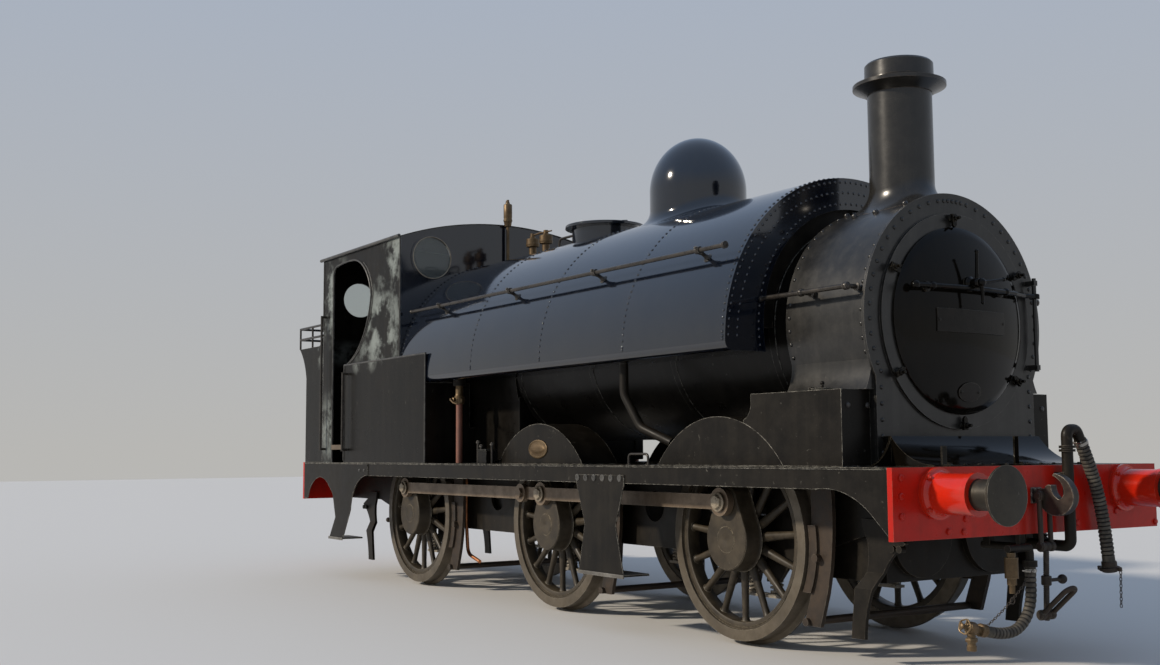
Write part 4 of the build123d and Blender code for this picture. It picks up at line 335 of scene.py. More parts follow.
# Making meshes
def rings(bm, loops, closed=False):
    """Skin over loops of points that follow each other, with its ends capped, or joined if closed."""
    rows = [[bm.verts.new(point) for point in loop] for loop in loops]
    pairs = list(zip(rows, rows[1:])) + ([(rows[-1], rows[0])] if closed else [])
    for first, second in pairs:
        for i in range(len(first)):
            j = (i + 1) % len(first)
            bm.faces.new((first[i], first[j], second[j], second[i]))
    if not closed:
        bm.faces.new(list(reversed(rows[0])))
        bm.faces.new(rows[-1])


def circle(middle, first, second, radius, steps, start=0.0):
    """Points evenly round a circle that lies in the directions first and second."""
    turns = [2 * pi * (k + start) / steps for k in range(steps)]
    return [middle + (first * cos(a) + second * sin(a)) * radius for a in turns]


def turned(bm, profile, foot, way, steps=20, closed=False):
    """A lathe shape: (height, radius) pairs measured along way from its foot."""
    way = Vector(way).normalized()
    across = Vector(up if abs(way.z) < 0.9 else fore).cross(way).normalized()
    other, foot = way.cross(across), Vector(foot)
    loops = [circle(foot + way * height, across, other, radius, steps, 0.5) for height, radius in profile]
    rings(bm, loops, closed=closed)


def rod(bm, start, end, radius, steps=14, chamfer=0.002):
    """A round bar with its end edges broken."""
    start, end = Vector(start), Vector(end)
    length = (end - start).length
    profile = [
        (0, radius - chamfer), (chamfer, radius), (length - chamfer, radius), (length, radius - chamfer),
    ]
    turned(bm, profile, start, end - start, steps)


def ball(bm, middle, radius, way=fore, steps=14):
    """A round knob."""
    arcs = [pi * (i + 0.5) / 8 for i in range(8)]
    turned(bm, [(-radius * cos(a), radius * sin(a)) for a in arcs], middle, way, steps)


def tube(bm, points, radius, steps=10, closed=False):
    """A round bar along a line of points; radius may be one number or one for each point."""
    points = [Vector(point) for point in points]
    radii = radius if isinstance(radius, list) else [radius] * len(points)
    last = len(points) - 1
    side, loops = None, []
    for i, point in enumerate(points):
        way = (points[min(i + 1, last)] - points[max(i - 1, 0)]).normalized()
        side = way.orthogonal().normalized() if side is None else (side - way * side.dot(way)).normalized()
        loops.append(circle(point, side, way.cross(side), radii[i], steps))
    rings(bm, loops, closed=closed)


def bend(points, radius, steps=6):
    """A line of stiff pipe: straight lengths joined by round bends."""
    points = [Vector(point) for point in points]
    line = [points[0]]
    for before, corner, after in zip(points, points[1:], points[2:]):
        back, forth = (before - corner).normalized(), (after - corner).normalized()
        reach = radius / tan(back.angle(forth) / 2)
        start, end = corner + back * reach, corner + forth * reach
        for i in range(steps + 1):
            t = i / steps
            line.append(start * (1 - t) ** 2 + corner * 2 * t * (1 - t) + end * t**2)
    return line + [points[-1]]


def plate(bm, outline, foot, first, second, thickness):
    """A flat plate: its outline lies in the directions first and second, and it is as thick as given."""
    foot, first, second = Vector(foot), Vector(first), Vector(second)
    way = first.cross(second)
    places = [foot + first * a + second * b for a, b in outline]
    rings(bm, [[place + way * height for place in places] for height in (0, thickness)])


def block(bm, x, y, z):
    """A square-edged bar between its lowest and highest corners."""
    corners = [(x[0], y[0]), (x[1], y[0]), (x[1], y[1]), (x[0], y[1])]
    rings(bm, [[Vector((a, b, height)) for a, b in corners] for height in z])


def nut_parts(radius, height):
    """A hexagon nut on a round washer, with the end of its bolt, as profiles and their steps."""
    return (
        ([(0, radius * 1.25), (height * 0.2, radius * 1.25)], 14),
        ([(height * 0.2, radius), (height * 0.85, radius), (height, radius * 0.82)], 6),
        ([(height, radius * 0.5), (height * 1.25, radius * 0.45)], 10),
    )


def nut(bm, place, way, radius, height):
    """A nut of these parts at a place."""
    for profile, steps in nut_parts(radius, height):
        turned(bm, profile, place, way, steps)


def smoothed(name, bm, angle=38):
    """A mesh in the scene that is smooth but for its sharp edges."""
    bmesh.ops.recalc_face_normals(bm, faces=bm.faces)
    mesh = bpy.data.meshes.new(name)
    bm.to_mesh(mesh)
    bm.free()
    mesh.polygons.foreach_set("use_smooth", [True] * len(mesh.polygons))
    mesh.set_sharp_from_angle(angle=radians(angle))
    made = bpy.data.objects.new(name, mesh)
    scene.collection.objects.link(made)
    return made


def finished(name, bm, finish, body="engine", replaces=(), bevel=0.0, angle=38):
    """Turn a mesh into a finished piece that rides on a body."""
    made = smoothed(name, bm, angle)
    made.data.materials.append(finish)
    if bevel:
        rounding = made.modifiers.new("rounded edges", "BEVEL")
        rounding.width = bevel
        rounding.segments = 2
        rounding.limit_method = "ANGLE"
        rounding.angle_limit = radians(40)
        rounding.harden_normals = True
    if replaces:
        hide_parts(*replaces)
    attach(made, body)
    return made


# Repeated parts: Geometry Nodes trees set rivets along rows, fixings at points and links along a line
def new_tree(name, kinds):
    """A tree, the identifiers of its inputs by name, and their values inside it."""
    tree = bpy.data.node_groups.new(name, "GeometryNodeTree")
    for key, kind in (("Geometry", "Geometry"), *kinds, ("Finish", "Material")):
        tree.interface.new_socket(key, in_out="INPUT", socket_type="NodeSocket" + kind)
    tree.interface.new_socket("Geometry", in_out="OUTPUT", socket_type="NodeSocketGeometry")
    keys = {item.name: item.identifier for item in tree.interface.items_tree if item.in_out == "INPUT"}
    return tree, keys, add(tree, "NodeGroupInput").outputs


def paced_points(tree, inputs):
    """Points at even steps along the lines that the tree is given."""
    curve = add(tree, "GeometryNodeMeshToCurve", {"Mesh": inputs["Geometry"]}).outputs["Curve"]
    values = {"Curve": curve, "Length": inputs["Spacing"]}
    return add(tree, "GeometryNodeResampleCurve", values, mode="LENGTH").outputs["Curve"]


def facing_turn(tree):
    """Rotation that faces a copy the way its point says."""
    facing = add(tree, "GeometryNodeInputNamedAttribute", {"Name": "outward"}, data_type="FLOAT_VECTOR")
    values = {"Vector": facing.outputs["Attribute"]}
    return add(tree, "FunctionNodeAlignRotationToVector", values, axis="Z").outputs["Rotation"]


def dressed_copies(tree, inputs, points, part, turn, size=None):
    """Copies of a part on points, in their finish, as the tree's result; sized ones are smooth."""
    values = {"Points": points, "Instance": part, "Rotation": turn}
    if size:
        values["Scale"] = size
    made = add(tree, "GeometryNodeInstanceOnPoints", values).outputs["Instances"]
    made = add(tree, "GeometryNodeRealizeInstances", {"Geometry": made}).outputs["Geometry"]
    if size:
        made = add(tree, "GeometryNodeSetShadeSmooth", {"Geometry": made}).outputs["Geometry"]
    values = {"Geometry": made, "Material": inputs["Finish"]}
    made = add(tree, "GeometryNodeSetMaterial", values).outputs["Geometry"]
    add(tree, "NodeGroupOutput", {"Geometry": made})


def grown(name, points, lines, outward, tree, keys, settings, body="engine"):
    """A plain mesh piece that a tree makes from points or lines."""
    mesh = bpy.data.meshes.new(name + "_places")
    mesh.from_pydata(points, lines, [])
    if outward:
        facing = mesh.attributes.new("outward", "FLOAT_VECTOR", "POINT")
        facing.data.foreach_set("vector", [value for way in outward for value in way])
    places = bpy.data.objects.new(name + "_places", mesh)
    scene.collection.objects.link(places)
    copies = places.modifiers.new("copies", "NODES")
    copies.node_group = tree
    for key, value in settings.items():
        copies[keys[key]] = value
    seen = places.evaluated_get(bpy.context.evaluated_depsgraph_get())
    made = bpy.data.objects.new(name, bpy.data.meshes.new_from_object(seen))
    bpy.data.objects.remove(places)
    scene.collection.objects.link(made)
    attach(made, body)


rivet_kinds = (("Spacing", "Float"), ("Radius", "Float"), ("Height", "Float"))
rivet_tree, rivet_keys, given = new_tree("rivet_rows", rivet_kinds)
rivet_size = {"X": given["Radius"], "Y": given["Radius"], "Z": given["Height"]}
rivet_head = {"Segments": 8, "Rings": 5, "Radius": 1.0}
dressed_copies(
    rivet_tree, given, paced_points(rivet_tree, given),
    add(rivet_tree, "GeometryNodeMeshUVSphere", rivet_head).outputs["Mesh"], facing_turn(rivet_tree),
    add(rivet_tree, "ShaderNodeCombineXYZ", rivet_size).outputs["Vector"],
)

fixing_tree, fixing_keys, given = new_tree("fixings", (("Part", "Object"),))
dressed_copies(
    fixing_tree, given,
    add(fixing_tree, "GeometryNodeMeshToPoints", {"Mesh": given["Geometry"]}).outputs["Points"],
    add(fixing_tree, "GeometryNodeObjectInfo", {"Object": given["Part"]}).outputs["Geometry"],
    facing_turn(fixing_tree),
)

link_tree, link_keys, given = new_tree("links", (("Part", "Object"), ("Spacing", "Float")))
link_way = add(link_tree, "GeometryNodeInputTangent").outputs["Tangent"]
along = add(link_tree, "FunctionNodeAlignRotationToVector", {"Vector": link_way}, axis="X")
link_index = add(link_tree, "GeometryNodeInputIndex").outputs["Index"]
quarters = {"Axis": (1, 0, 0), "Angle": sums(link_tree, "MULTIPLY", link_index, pi / 2)}
quarter_turn = add(link_tree, "FunctionNodeAxisAngleToRotation", quarters).outputs["Rotation"]
link_turn = {"Rotation": along.outputs["Rotation"], "Rotate By": quarter_turn}
dressed_copies(
    link_tree, given, paced_points(link_tree, given),
    add(link_tree, "GeometryNodeObjectInfo", {"Object": given["Part"]}).outputs["Geometry"],
    add(link_tree, "FunctionNodeRotateRotation", link_turn, rotation_space="LOCAL").outputs["Rotation"],
)


def row(start, end, way):
    """Straight row of rivets, with the side that their heads face."""
    return [(Vector(start), Vector(way)), (Vector(end), Vector(way))]


def arc_row(x, radius, z, first, last, way=None):
    """Row round an arc across the engine, between two angles; heads face outward or as given."""
    steps = max(6, int(abs(last - first) / 3))
    line = []
    for i in range(steps + 1):
        angle = radians(first + (last - first) * i / steps)
        out = Vector((0, cos(angle), sin(angle)))
        line.append((Vector((x, 0, z)) + out * radius, Vector(way) if way else out))
    return line


def rivets(name, rows, spacing, radius, height, finish, slot):
    """Rivet heads along rows, as one piece."""
    points, ways, lines = [], [], []
    for line in rows:
        lines += [(i, i + 1) for i in range(len(points), len(points) + len(line) - 1)]
        points += [point for point, way in line]
        ways += [way for point, way in line]
    settings = {"Spacing": spacing, "Radius": radius, "Height": height, "Finish": finish}
    grown(name, points, lines, ways, rivet_tree, rivet_keys, settings)


def fixings(name, spots, profile_parts, finish, body="engine"):
    """Nuts, bolt heads or screws: the same turned parts at each place, facing its way."""
    bm = bmesh.new()
    for profile, steps in profile_parts:
        turned(bm, profile, (0, 0, 0), up, steps)
    part = smoothed(name + "_part", bm)
    points = [Vector(place) for place, way in spots]
    outward = [Vector(way).normalized() for place, way in spots]
    grown(name, points, [], outward, fixing_tree, fixing_keys, {"Part": part, "Finish": finish}, body)
    bpy.data.objects.remove(part)


# Hoses on the front beam, with their end fittings
def hose_line(name, route):
    """Points along a hose, read from the smooth spline that its route controls."""
    curve = bpy.data.curves.new(name + "_line", "CURVE")
    curve.dimensions = "3D"
    curve.resolution_u = 40
    spline = curve.splines.new("NURBS")
    spline.points.add(len(route) - 1)
    for point, place in zip(spline.points, route):
        point.co = (*place, 1.0)
    spline.order_u = 3
    spline.use_endpoint_u = True
    guide = bpy.data.objects.new(name + "_line", curve)
    scene.collection.objects.link(guide)
    seen = guide.evaluated_get(bpy.context.evaluated_depsgraph_get())
    line = [vertex.co.copy() for vertex in bpy.data.meshes.new_from_object(seen).vertices]
    bpy.data.objects.remove(guide)
    return line


def paced(line, step):
    """Points at even steps along a line."""
    reach = [0.0]
    for before, after in zip(line, line[1:]):
        reach.append(reach[-1] + (after - before).length)
    count = round(reach[-1] / step)
    places, i = [], 0
    for k in range(count + 1):
        goal = reach[-1] * k / count
        while i < len(line) - 2 and reach[i + 1] < goal:
            i += 1
        share = (goal - reach[i]) / (reach[i + 1] - reach[i])
        places.append(line[i].lerp(line[i + 1], min(max(share, 0.0), 1.0)))
    return places


def ribbed_hose(name, route, radius, pitch, valley):
    """Rubber hose with round ribs all along it, and plain where its clamps sit."""
    rib_steps, plain_steps, round_steps = 10, 14, 26
    line = paced(hose_line(name, route), pitch / rib_steps)
    radii = []
    for k in range(len(line)):
        plain = min(k, len(line) - 1 - k) < plain_steps
        rib = 0.75 if plain else abs(sin(pi * k / rib_steps)) ** 0.5
        radii.append(radius - valley * (1 - rib))
    bm = bmesh.new()
    tube(bm, line, radii, round_steps)
    made = finished("ribbed_" + name, bm, hose_rubber, replaces=(name,), angle=60)
    # The rib attribute, 1 on the crests and 0 in the valleys, carries the painted shade that darkens the rib
    # valleys
    crest = made.data.attributes.new("rib", "FLOAT", "POINT")
    crest.data.foreach_set("value", [1 - (radius - r) / valley for r in radii for i in range(round_steps)])
    return made, line


vacuum_route = [
    (4.4915, 0.352, 1.3716), (4.4915, 0.461968, 1.17568), (4.4915, 0.537, 0.9556), (4.4915, 0.575, 0.7436),
    (4.4915, 0.591, 0.6186),
]
heating_route = [
    (4.4645, -0.130, 0.6226), (4.4645, -0.130, 0.5286), (4.4645, -0.133, 0.4326), (4.4645, -0.16044, 0.35959),
    (4.4645, -0.21182, 0.30090), (4.4645, -0.28056, 0.26404), (4.4645, -0.35788, 0.25372),
    (4.4645, -0.46788, 0.26272), (4.4645, -0.55588, 0.28272),
]
vacuum_hose, vacuum_line = ribbed_hose("vacuum_hose", vacuum_route, 0.040, 0.026, 0.0075)
heating_hose, heating_line = ribbed_hose("heating_hose", heating_route, 0.033, 0.030, 0.0045)

vacuum_foot, vacuum_way = Vector(vacuum_route[-1]), Vector((0, 0.127, -0.992)).normalized()
bm = bmesh.new()
turned(
    bm,
    [
        (-0.002, 0.043), (0.003, 0.046), (0.030, 0.046), (0.034, 0.058), (0.037, 0.062), (0.051, 0.062),
        (0.054, 0.059), (0.054, 0.047), (0.061, 0.046), (0.064, 0.043), (0.064, 0.030), (0.050, 0.028),
    ],
    vacuum_foot, vacuum_way, 32,
)
for side in sides:
    lug_start = vacuum_foot + vacuum_way * 0.044 + Vector((side * 0.050, 0, 0))
    rod(bm, lug_start, lug_start + Vector((side * 0.025, 0, 0)), 0.009, 12)
    lug_end = [(-0.012, 0.011), (-0.010, 0.013), (0.010, 0.013), (0.012, 0.011)]
    turned(bm, lug_end, lug_start + Vector((side * 0.021, 0, 0)), vacuum_way, 14)
coupling = finished("vacuum_coupling", bm, rusty_iron, replaces=("hose_coupling",), bevel=0.001)

bm = bmesh.new()
for route, way, radius in ((vacuum_route, (0, 0.489, -0.872), 0.040), (heating_route, (0, 0, -1), 0.033)):
    middle = Vector(route[0]) + Vector(way).normalized() * 0.022
    inner, outer = radius - 0.003, radius + 0.003
    turned(bm, [(-0.010, inner), (-0.009, outer), (0.009, outer), (0.010, inner)], middle, way, 32)
    rod(bm, middle + Vector((0.030, -radius, 0)), middle + Vector((-0.030, -radius, 0)), 0.006, 8)
finished("hose_clamps", bm, bright_steel)

cock_start, cock_way = Vector(heating_route[-1]), Vector((0, -0.97513, 0.22162)).normalized()
bm = bmesh.new()
turned(
    bm,
    [
        (-0.004, 0.034), (0.000, 0.038), (0.012, 0.038), (0.015, 0.035), (0.022, 0.035), (0.025, 0.038),
        (0.040, 0.038), (0.044, 0.034), (0.046, 0.022), (0.080, 0.022), (0.086, 0.032), (0.094, 0.036),
        (0.132, 0.036), (0.140, 0.033), (0.144, 0.024), (0.147, 0.020),
    ],
    cock_start, cock_way, 28,
)
cock = finished("heating_cock_body", bm, brass, replaces=("heating_cock",), bevel=0.0008)

bm = bmesh.new()
turned(
    bm,
    [
        (0.144, 0.021), (0.150, 0.020), (0.153, 0.012), (0.186, 0.012), (0.188, 0.016), (0.199, 0.016),
        (0.202, 0.012),
    ],
    cock_start, cock_way, 24,
)
wheel_middle = cock_start + cock_way * 0.168
wheel_across = cock_way.cross(Vector(fore)).normalized()
wheel_line, spokes = [], 5
for i, rim_way in enumerate(circle(Vector(), Vector(fore), wheel_across, 1, 40)):
    reach = 0.0405 + 0.0018 * cos(spokes * 2 * pi * i / 40)
    wheel_line.append(wheel_middle + rim_way * reach)
tube(bm, wheel_line, 0.0052, 8, closed=True)
for spoke_way in circle(Vector(), Vector(fore), wheel_across, 1, spokes):
    rod(bm, wheel_middle + spoke_way * 0.008, wheel_middle + spoke_way * 0.040, 0.0042, 8, 0.0005)
outlet = cock_start + cock_way * 0.114
turned(
    bm,
    [
        (0.0, 0.020), (0.020, 0.024), (0.054, 0.024), (0.056, 0.031), (0.078, 0.031), (0.080, 0.024),
        (0.096, 0.024), (0.097, 0.028), (0.126, 0.028), (0.128, 0.026),
    ],
    outlet, (0, 0, -1), 24,
)
turned(bm, [(0.058, 0.0345), (0.060, 0.036), (0.074, 0.036), (0.076, 0.0345)], outlet, (0, 0, -1), 6)
finished("heating_cock_wheel", bm, brass, bevel=0.0008)

# Keep-chains of the two hoses
def chain(name, start, end, sag, link, wire):
    """Chain of oval links between two places, turned a quarter from one to the next."""
    start, end = Vector(start), Vector(end)
    steps = [i / 16 for i in range(17)]
    points = [start.lerp(end, t) - Vector((0, 0, sag * 4 * t * (1 - t))) for t in steps]
    lines = [(i, i + 1) for i in range(len(points) - 1)]
    bm = bmesh.new()
    turns = [2 * pi * k / 12 for k in range(12)]
    tube(bm, [(link * cos(a), link * 0.6 * sin(a), 0) for a in turns], wire, 5, closed=True)
    part = smoothed(name + "_part", bm)
    settings = {"Spacing": (link - wire) * 2, "Part": part, "Finish": rusty_iron}
    grown(name, points, lines, None, link_tree, link_keys, settings)
    bpy.data.objects.remove(part)


chain("cock_chain", (4.5665, 0.597, 0.575), (4.5500, 0.612, 0.352), 0.0, 0.0125, 0.0028)
chain("hose_chain", (4.5010, -0.155, 0.600), (4.4700, -0.530, 0.315), 0.02, 0.0105, 0.0022)
bm = bmesh.new()
ring_line = circle(Vector((4.4880, -0.330, 0.440)), Vector(left), Vector(up), 0.019, 18)
tube(bm, ring_line, 0.003, 6, closed=True)
finished("chain_ring", bm, rusty_iron)


# Wheels: cast centres with oval spokes, and the crank axle
spoke_shape = (
    (0.125, 0.096, 0.066), (0.145, 0.080, 0.060), (0.175, 0.070, 0.056), (0.300, 0.060, 0.052),
    (0.480, 0.048, 0.046), (0.525, 0.048, 0.048), (0.545, 0.056, 0.054), (0.562, 0.078, 0.066),
)
crank_angles = {-1: radians(90), 1: radians(180)}
crank_throw, inner_throw = 0.2557, 0.330


def crank_outline(big, small, throw, angle, grow):
    """Two round ends joined by straight flanks, as x and z from the axle."""
    lean = acos((big - small) / throw)
    pin = Vector((cos(angle), sin(angle))) * throw
    outline = []
    for i in range(33):
        a = angle + lean + (2 * pi - 2 * lean) * i / 32
        outline.append(Vector((cos(a), sin(a))) * (big + grow))
    for i in range(17):
        a = angle - lean + 2 * lean * i / 16
        outline.append(pin + Vector((cos(a), sin(a))) * (small + grow))
    return outline


def pin_place(x, throw, angle):
    """Middle of a crank pin, as turned from the axle at x."""
    return Vector((x + throw * cos(angle), 0, axle_z + throw * sin(angle)))


def web(bm, x, outline_sizes, angle, heights):
    """Crank web on an axle at x: heights are (y, how far its edge stands back)."""
    loops = []
    for y, grow in heights:
        outline = crank_outline(*outline_sizes, angle, grow)
        loops.append([Vector((x + a, y, axle_z + b)) for a, b in outline])
    rings(bm, loops)


def wheel(bm, x, side):
    """Wheel centre inside its tyre, with the crank boss on the outer face."""
    rim = [
        (0.688, 0.6095), (0.688, 0.572), (0.694, 0.560), (0.702, 0.556), (0.790, 0.556), (0.797, 0.560),
        (0.801, 0.570), (0.801, 0.588), (0.797, 0.592), (0.797, 0.6095),
    ]
    turned(bm, rim, (x, 0, axle_z), (0, side, 0), 96, closed=True)
    hub = [(0.671, 0.130), (0.675, 0.140), (0.700, 0.146), (0.786, 0.142), (0.791, 0.136)]
    turned(bm, hub, (x, 0, axle_z), (0, side, 0), 48)
    for k in range(15):
        angle = radians(102 + 24 * k)
        out = Vector((cos(angle), 0, sin(angle)))
        across = Vector((-sin(angle), 0, cos(angle)))
        loops = []
        for reach, width, depth in spoke_shape:
            middle = Vector((x, side * 0.742, axle_z)) + out * reach
            loop = []
            for i in range(12):
                a = 2 * pi * i / 12
                aside = Vector((0, depth / 2 * sin(a), 0))
                loop.append(middle + across * (width / 2 * cos(a)) + aside)
            loops.append(loop)
        rings(bm, loops)
    boss = ((0.776, 0.012), (0.784, 0.004), (0.792, 0.0), (0.893, 0.0), (0.902, -0.004), (0.907, -0.012))
    web(bm, x, (0.212, 0.115, crank_throw), crank_angles[side], [(side * y, grow) for y, grow in boss])
    end_ring = [(0.905, 0.090), (0.911, 0.087), (0.9115, 0.024), (0.9075, 0.012)]
    turned(bm, end_ring, (x, 0, axle_z), (0, side, 0), 40)
    pin = [(0.900, 0.066), (0.9105, 0.066), (0.9125, 0.062), (0.9125, 0.048), (0.976, 0.048)]
    turned(bm, pin, pin_place(x, crank_throw, crank_angles[side]), (0, side, 0), 32)


def pin_nut(bm, x, side):
    """Washer, thick collar and nut that keep a rod on its crank pin."""
    pin = pin_place(x, crank_throw, crank_angles[side])
    turned(bm, [(0.9722, 0.064), (0.974, 0.066), (0.981, 0.066), (0.984, 0.062)], pin, (0, side, 0), 32)
    turned(bm, [(0.984, 0.049), (0.986, 0.051), (0.998, 0.051), (1.003, 0.045)], pin, (0, side, 0), 6)
    turned(bm, [(1.000, 0.031), (1.005, 0.029), (1.006, 0.018), (1.004, 0.010)], pin, (0, side, 0), 20)


for axle_name, x in axle_x.items():
    bm = bmesh.new()
    for side in sides:
        wheel(bm, x, side)
    if axle_name == "middle":
        turned(bm, [(-0.21, 0.092), (0.21, 0.092)], (x, 0, axle_z), left, 40)
        for side in sides:
            crank = crank_angles[side] + pi
            turned(bm, [(0.505, 0.092), (0.673, 0.092)], (x, 0, axle_z), (0, side, 0), 40)
            inner_pin = pin_place(x, inner_throw, crank)
            turned(bm, [(0.298, 0.088), (0.422, 0.088)], inner_pin, (0, side, 0), 40)
            for low, high in ((0.21, 0.30), (0.42, 0.51)):
                edge = ((low, -0.008), (low + 0.008, 0.0), (high - 0.008, 0.0), (high, -0.008))
                web(bm, x, (0.150, 0.120, inner_throw), crank, [(side * y, grow) for y, grow in edge])
    else:
        turned(bm, [(-0.673, 0.092), (0.673, 0.092)], (x, 0, axle_z), left, 40)
    body, node = axle_name + "_axle", "wheelset_" + axle_name
    finished(axle_name + "_wheels", bm, wheel_grey, body, (node,), angle=32)
    bm = bmesh.new()
    for side in sides:
        pin_nut(bm, x, side)
    finished(axle_name + "_pin_nuts", bm, nut_steel, body, bevel=0.0015)

# Coil springs in pairs under each axlebox, with half a turn flat at each end
coil_turns, coil_steps = 5, 18
bm = bmesh.new()
for x in axle_x.values():
    for side in sides:
        y = side * 0.566
        outline = [(-0.190, -0.045), (0.190, -0.045), (0.190, 0.045), (-0.190, 0.045)]
        plate(bm, outline, (x, y, 0.3146), fore, left, 0.020)
        for end in (-1, 1):
            foot = Vector((x + end * 0.125, y, 0))
            turned(bm, [(0.3346, 0.044), (0.3400, 0.046), (0.3430, 0.046), (0.3450, 0.030)], foot, up, 24)
            turned(bm, [(0.4746, 0.030), (0.4770, 0.046), (0.4846, 0.046), (0.4880, 0.040)], foot, up, 24)
            turned(bm, [(0.330, 0.024), (0.5546, 0.024)], foot, up, 18)
            coil = []
            for k in range(coil_turns * coil_steps + 1):
                a = 2 * pi * k / coil_steps
                rise = min(max((k - coil_steps / 2) / ((coil_turns - 1) * coil_steps), 0.0), 1.0)
                spot = Vector((cos(a) * 0.038, sin(a) * 0.038, 0.3500 + 0.1180 * rise))
                coil.append(foot + spot)
            tube(bm, coil, 0.0095, 8)
finished("coil_springs", bm, spring_grey, replaces=("springs",))

# Drawhooks and their screw couplings
hook_line = (
    ((0.030, 0.038),), ((0.084, 0.044),), ((0.100, 0.062), (0.132, 0.062)), ((0.148, 0.008), (0.185, -0.020)),
    ((0.214, 0.008), (0.212, 0.052)), ((0.186, 0.092), (0.142, 0.118)), ((0.152, 0.134),),
    ((0.240, 0.092), (0.284, 0.005)), ((0.258, -0.072), (0.190, -0.113)), ((0.100, -0.104), (0.052, -0.056)),
)
hook_z = 1.0386


def arc_through(start, middle, end, steps=10):
    """Points of a round arc from start through middle to end, without its first point."""
    (ax, ay), (bx, by), (cx, cy) = start, middle, end
    a2, b2, c2 = ax * ax + ay * ay, bx * bx + by * by, cx * cx + cy * cy
    d = 2 * (ax * (by - cy) + bx * (cy - ay) + cx * (ay - by))
    ux = (a2 * (by - cy) + b2 * (cy - ay) + c2 * (ay - by)) / d
    uy = (a2 * (cx - bx) + b2 * (ax - cx) + c2 * (bx - ax)) / d
    first = atan2(ay - uy, ax - ux)
    turn = (atan2(cy - uy, cx - ux) - first) % (2 * pi)
    if (atan2(by - uy, bx - ux) - first) % (2 * pi) > turn:
        turn -= 2 * pi
    radius = hypot(ax - ux, ay - uy)
    angles = [first + turn * (i + 1) / steps for i in range(steps)]
    return [(ux + radius * cos(a), uy + radius * sin(a)) for a in angles]


hook_outline = [(0.030, -0.038)]
for part in hook_line:
    if len(part) == 1:
        hook_outline.append(part[0])
    else:
        hook_outline += arc_through(hook_outline[-1], *part)

hooks, couplings = bmesh.new(), bmesh.new()
for end in (1, -1):
    def at(x, y, z):
        """A place measured from the beam's face and the hook's middle."""
        return Vector((end * (beam_x + x), end * y, hook_z + z))

    plate(hooks, hook_outline, at(0, 0.027, 0), (end, 0, 0), up, 0.054)
    shank = sorted((end * (beam_x - 0.20), end * (beam_x + 0.055)))
    block(hooks, shank, (-0.020, 0.020), (hook_z - 0.038, hook_z + 0.038))
    turned(hooks, [(0, 0.068), (0.010, 0.068), (0.014, 0.062)], at(-0.002, 0, 0), (end, 0, 0), 4)
    rod(couplings, at(0.060, -0.065, 0), at(0.060, 0.065, 0), 0.018, 18)
    for y in (-0.045, 0.045):
        rod(couplings, at(0.060, y, 0.010), at(0.062, y, -0.312), 0.0155, 16)
        for x, z in ((0.060, 0.0), (0.062, -0.302), (0.046, -0.704)):
            rod(couplings, at(x, y - 0.014, z), at(x, y + 0.014, z), 0.031, 22, 0.004)
    for x, z in ((0.062, -0.302), (0.046, -0.704)):
        rod(couplings, at(x, -0.067, z), at(x, 0.067, z), 0.024, 20, 0.003)
        ball(couplings, at(x, 0, z), 0.030, left, 20)
    screw_foot, screw_top = at(0.046, 0, -0.738), at(0.062, 0, -0.272)
    screw_way, thread = screw_top - screw_foot, 0.006
    threads = [(k * thread, 0.0185 if k % 2 else 0.0155) for k in range(int(screw_way.length / thread))]
    turned(couplings, threads, screw_foot, screw_way, 18)
    lever_foot = at(0.054, 0, -0.503)
    turned(
        couplings, [(-0.028, 0.026), (-0.024, 0.030), (0.024, 0.030), (0.028, 0.026)], lever_foot, screw_way,
        20,
    )
    rod(couplings, lever_foot, at(0.054, 0.135, -0.503), 0.011, 14)
    ball(couplings, at(0.054, 0.150, -0.503), 0.029, left, 20)
    shackle_way = Vector((end * 0.192, 0, 0.174)).normalized()
    shackle_reach = 0.2091
    bow = [at(0.046, 0.045, -0.704)]
    for i in range(13):
        a = pi * (0.5 - i / 12)
        bow.append(at(0.046, 0.045 * sin(a), -0.704) + shackle_way * (shackle_reach + 0.045 * cos(a)))
    bow.append(at(0.046, -0.045, -0.704))
    tube(couplings, bow, 0.0155, 14)
finished("drawhook_forgings", hooks, hook_iron, replaces=("drawhooks",), bevel=0.011)
finished("screw_couplings", couplings, rusty_iron)

# Smokebox door: dished plate with a folded rim, its cross bar, spindle and handles
door_x, door_dish, door_radius = 3.883, 0.105, 0.607
dish_radius = (door_radius**2 + (door_dish - 0.016) ** 2) / (2 * (door_dish - 0.016))


def on_door(y, z):
    """Place on the dished face, at y and z from the door's middle."""
    reach = sqrt(max(dish_radius**2 - y * y - z * z, 0))
    return Vector((door_x + door_dish - dish_radius + reach, y, boiler_z + z))


bm = bmesh.new()
profile = [(0.0, 0.592), (0.0, 0.603), (0.003, door_radius), (0.012, door_radius), (0.017, 0.602)]
for k in range(1, 15):
    reach = 0.595 * (1 - k / 15)
    profile.append((on_door(reach, 0).x - door_x, reach))
turned(bm, profile, (door_x, 0, boiler_z), fore, 96)
bar_z = 0.195
hinge = Vector((3.926, 0.716, boiler_z + bar_z))
bar_end = on_door(-0.492, bar_z) + Vector((0.052, 0, 0))
bar_line = [hinge + Vector((0.010, -0.020, 0)), on_door(0.600, 0.0) + Vector((0.030, 0, bar_z))]
for y in (0.45, 0.30, 0.15, 0.0, -0.15, -0.30, -0.42):
    bar_line.append(on_door(y, bar_z) + Vector((0.046, 0, 0)))
bar_line.append(bar_end)
tube(bm, bend(bar_line, 0.05, 4), 0.0165, 16)
ball(bm, bar_end, 0.030, left, 20)
for y in (-0.360, 0.330):
    foot = on_door(y, bar_z)
    turned(bm, [(-0.004, 0.034), (0.006, 0.032), (0.010, 0.018), (0.036, 0.015)], foot, fore, 18)
    ball(bm, foot + Vector((0.046, 0, 0)), 0.026, left, 16)
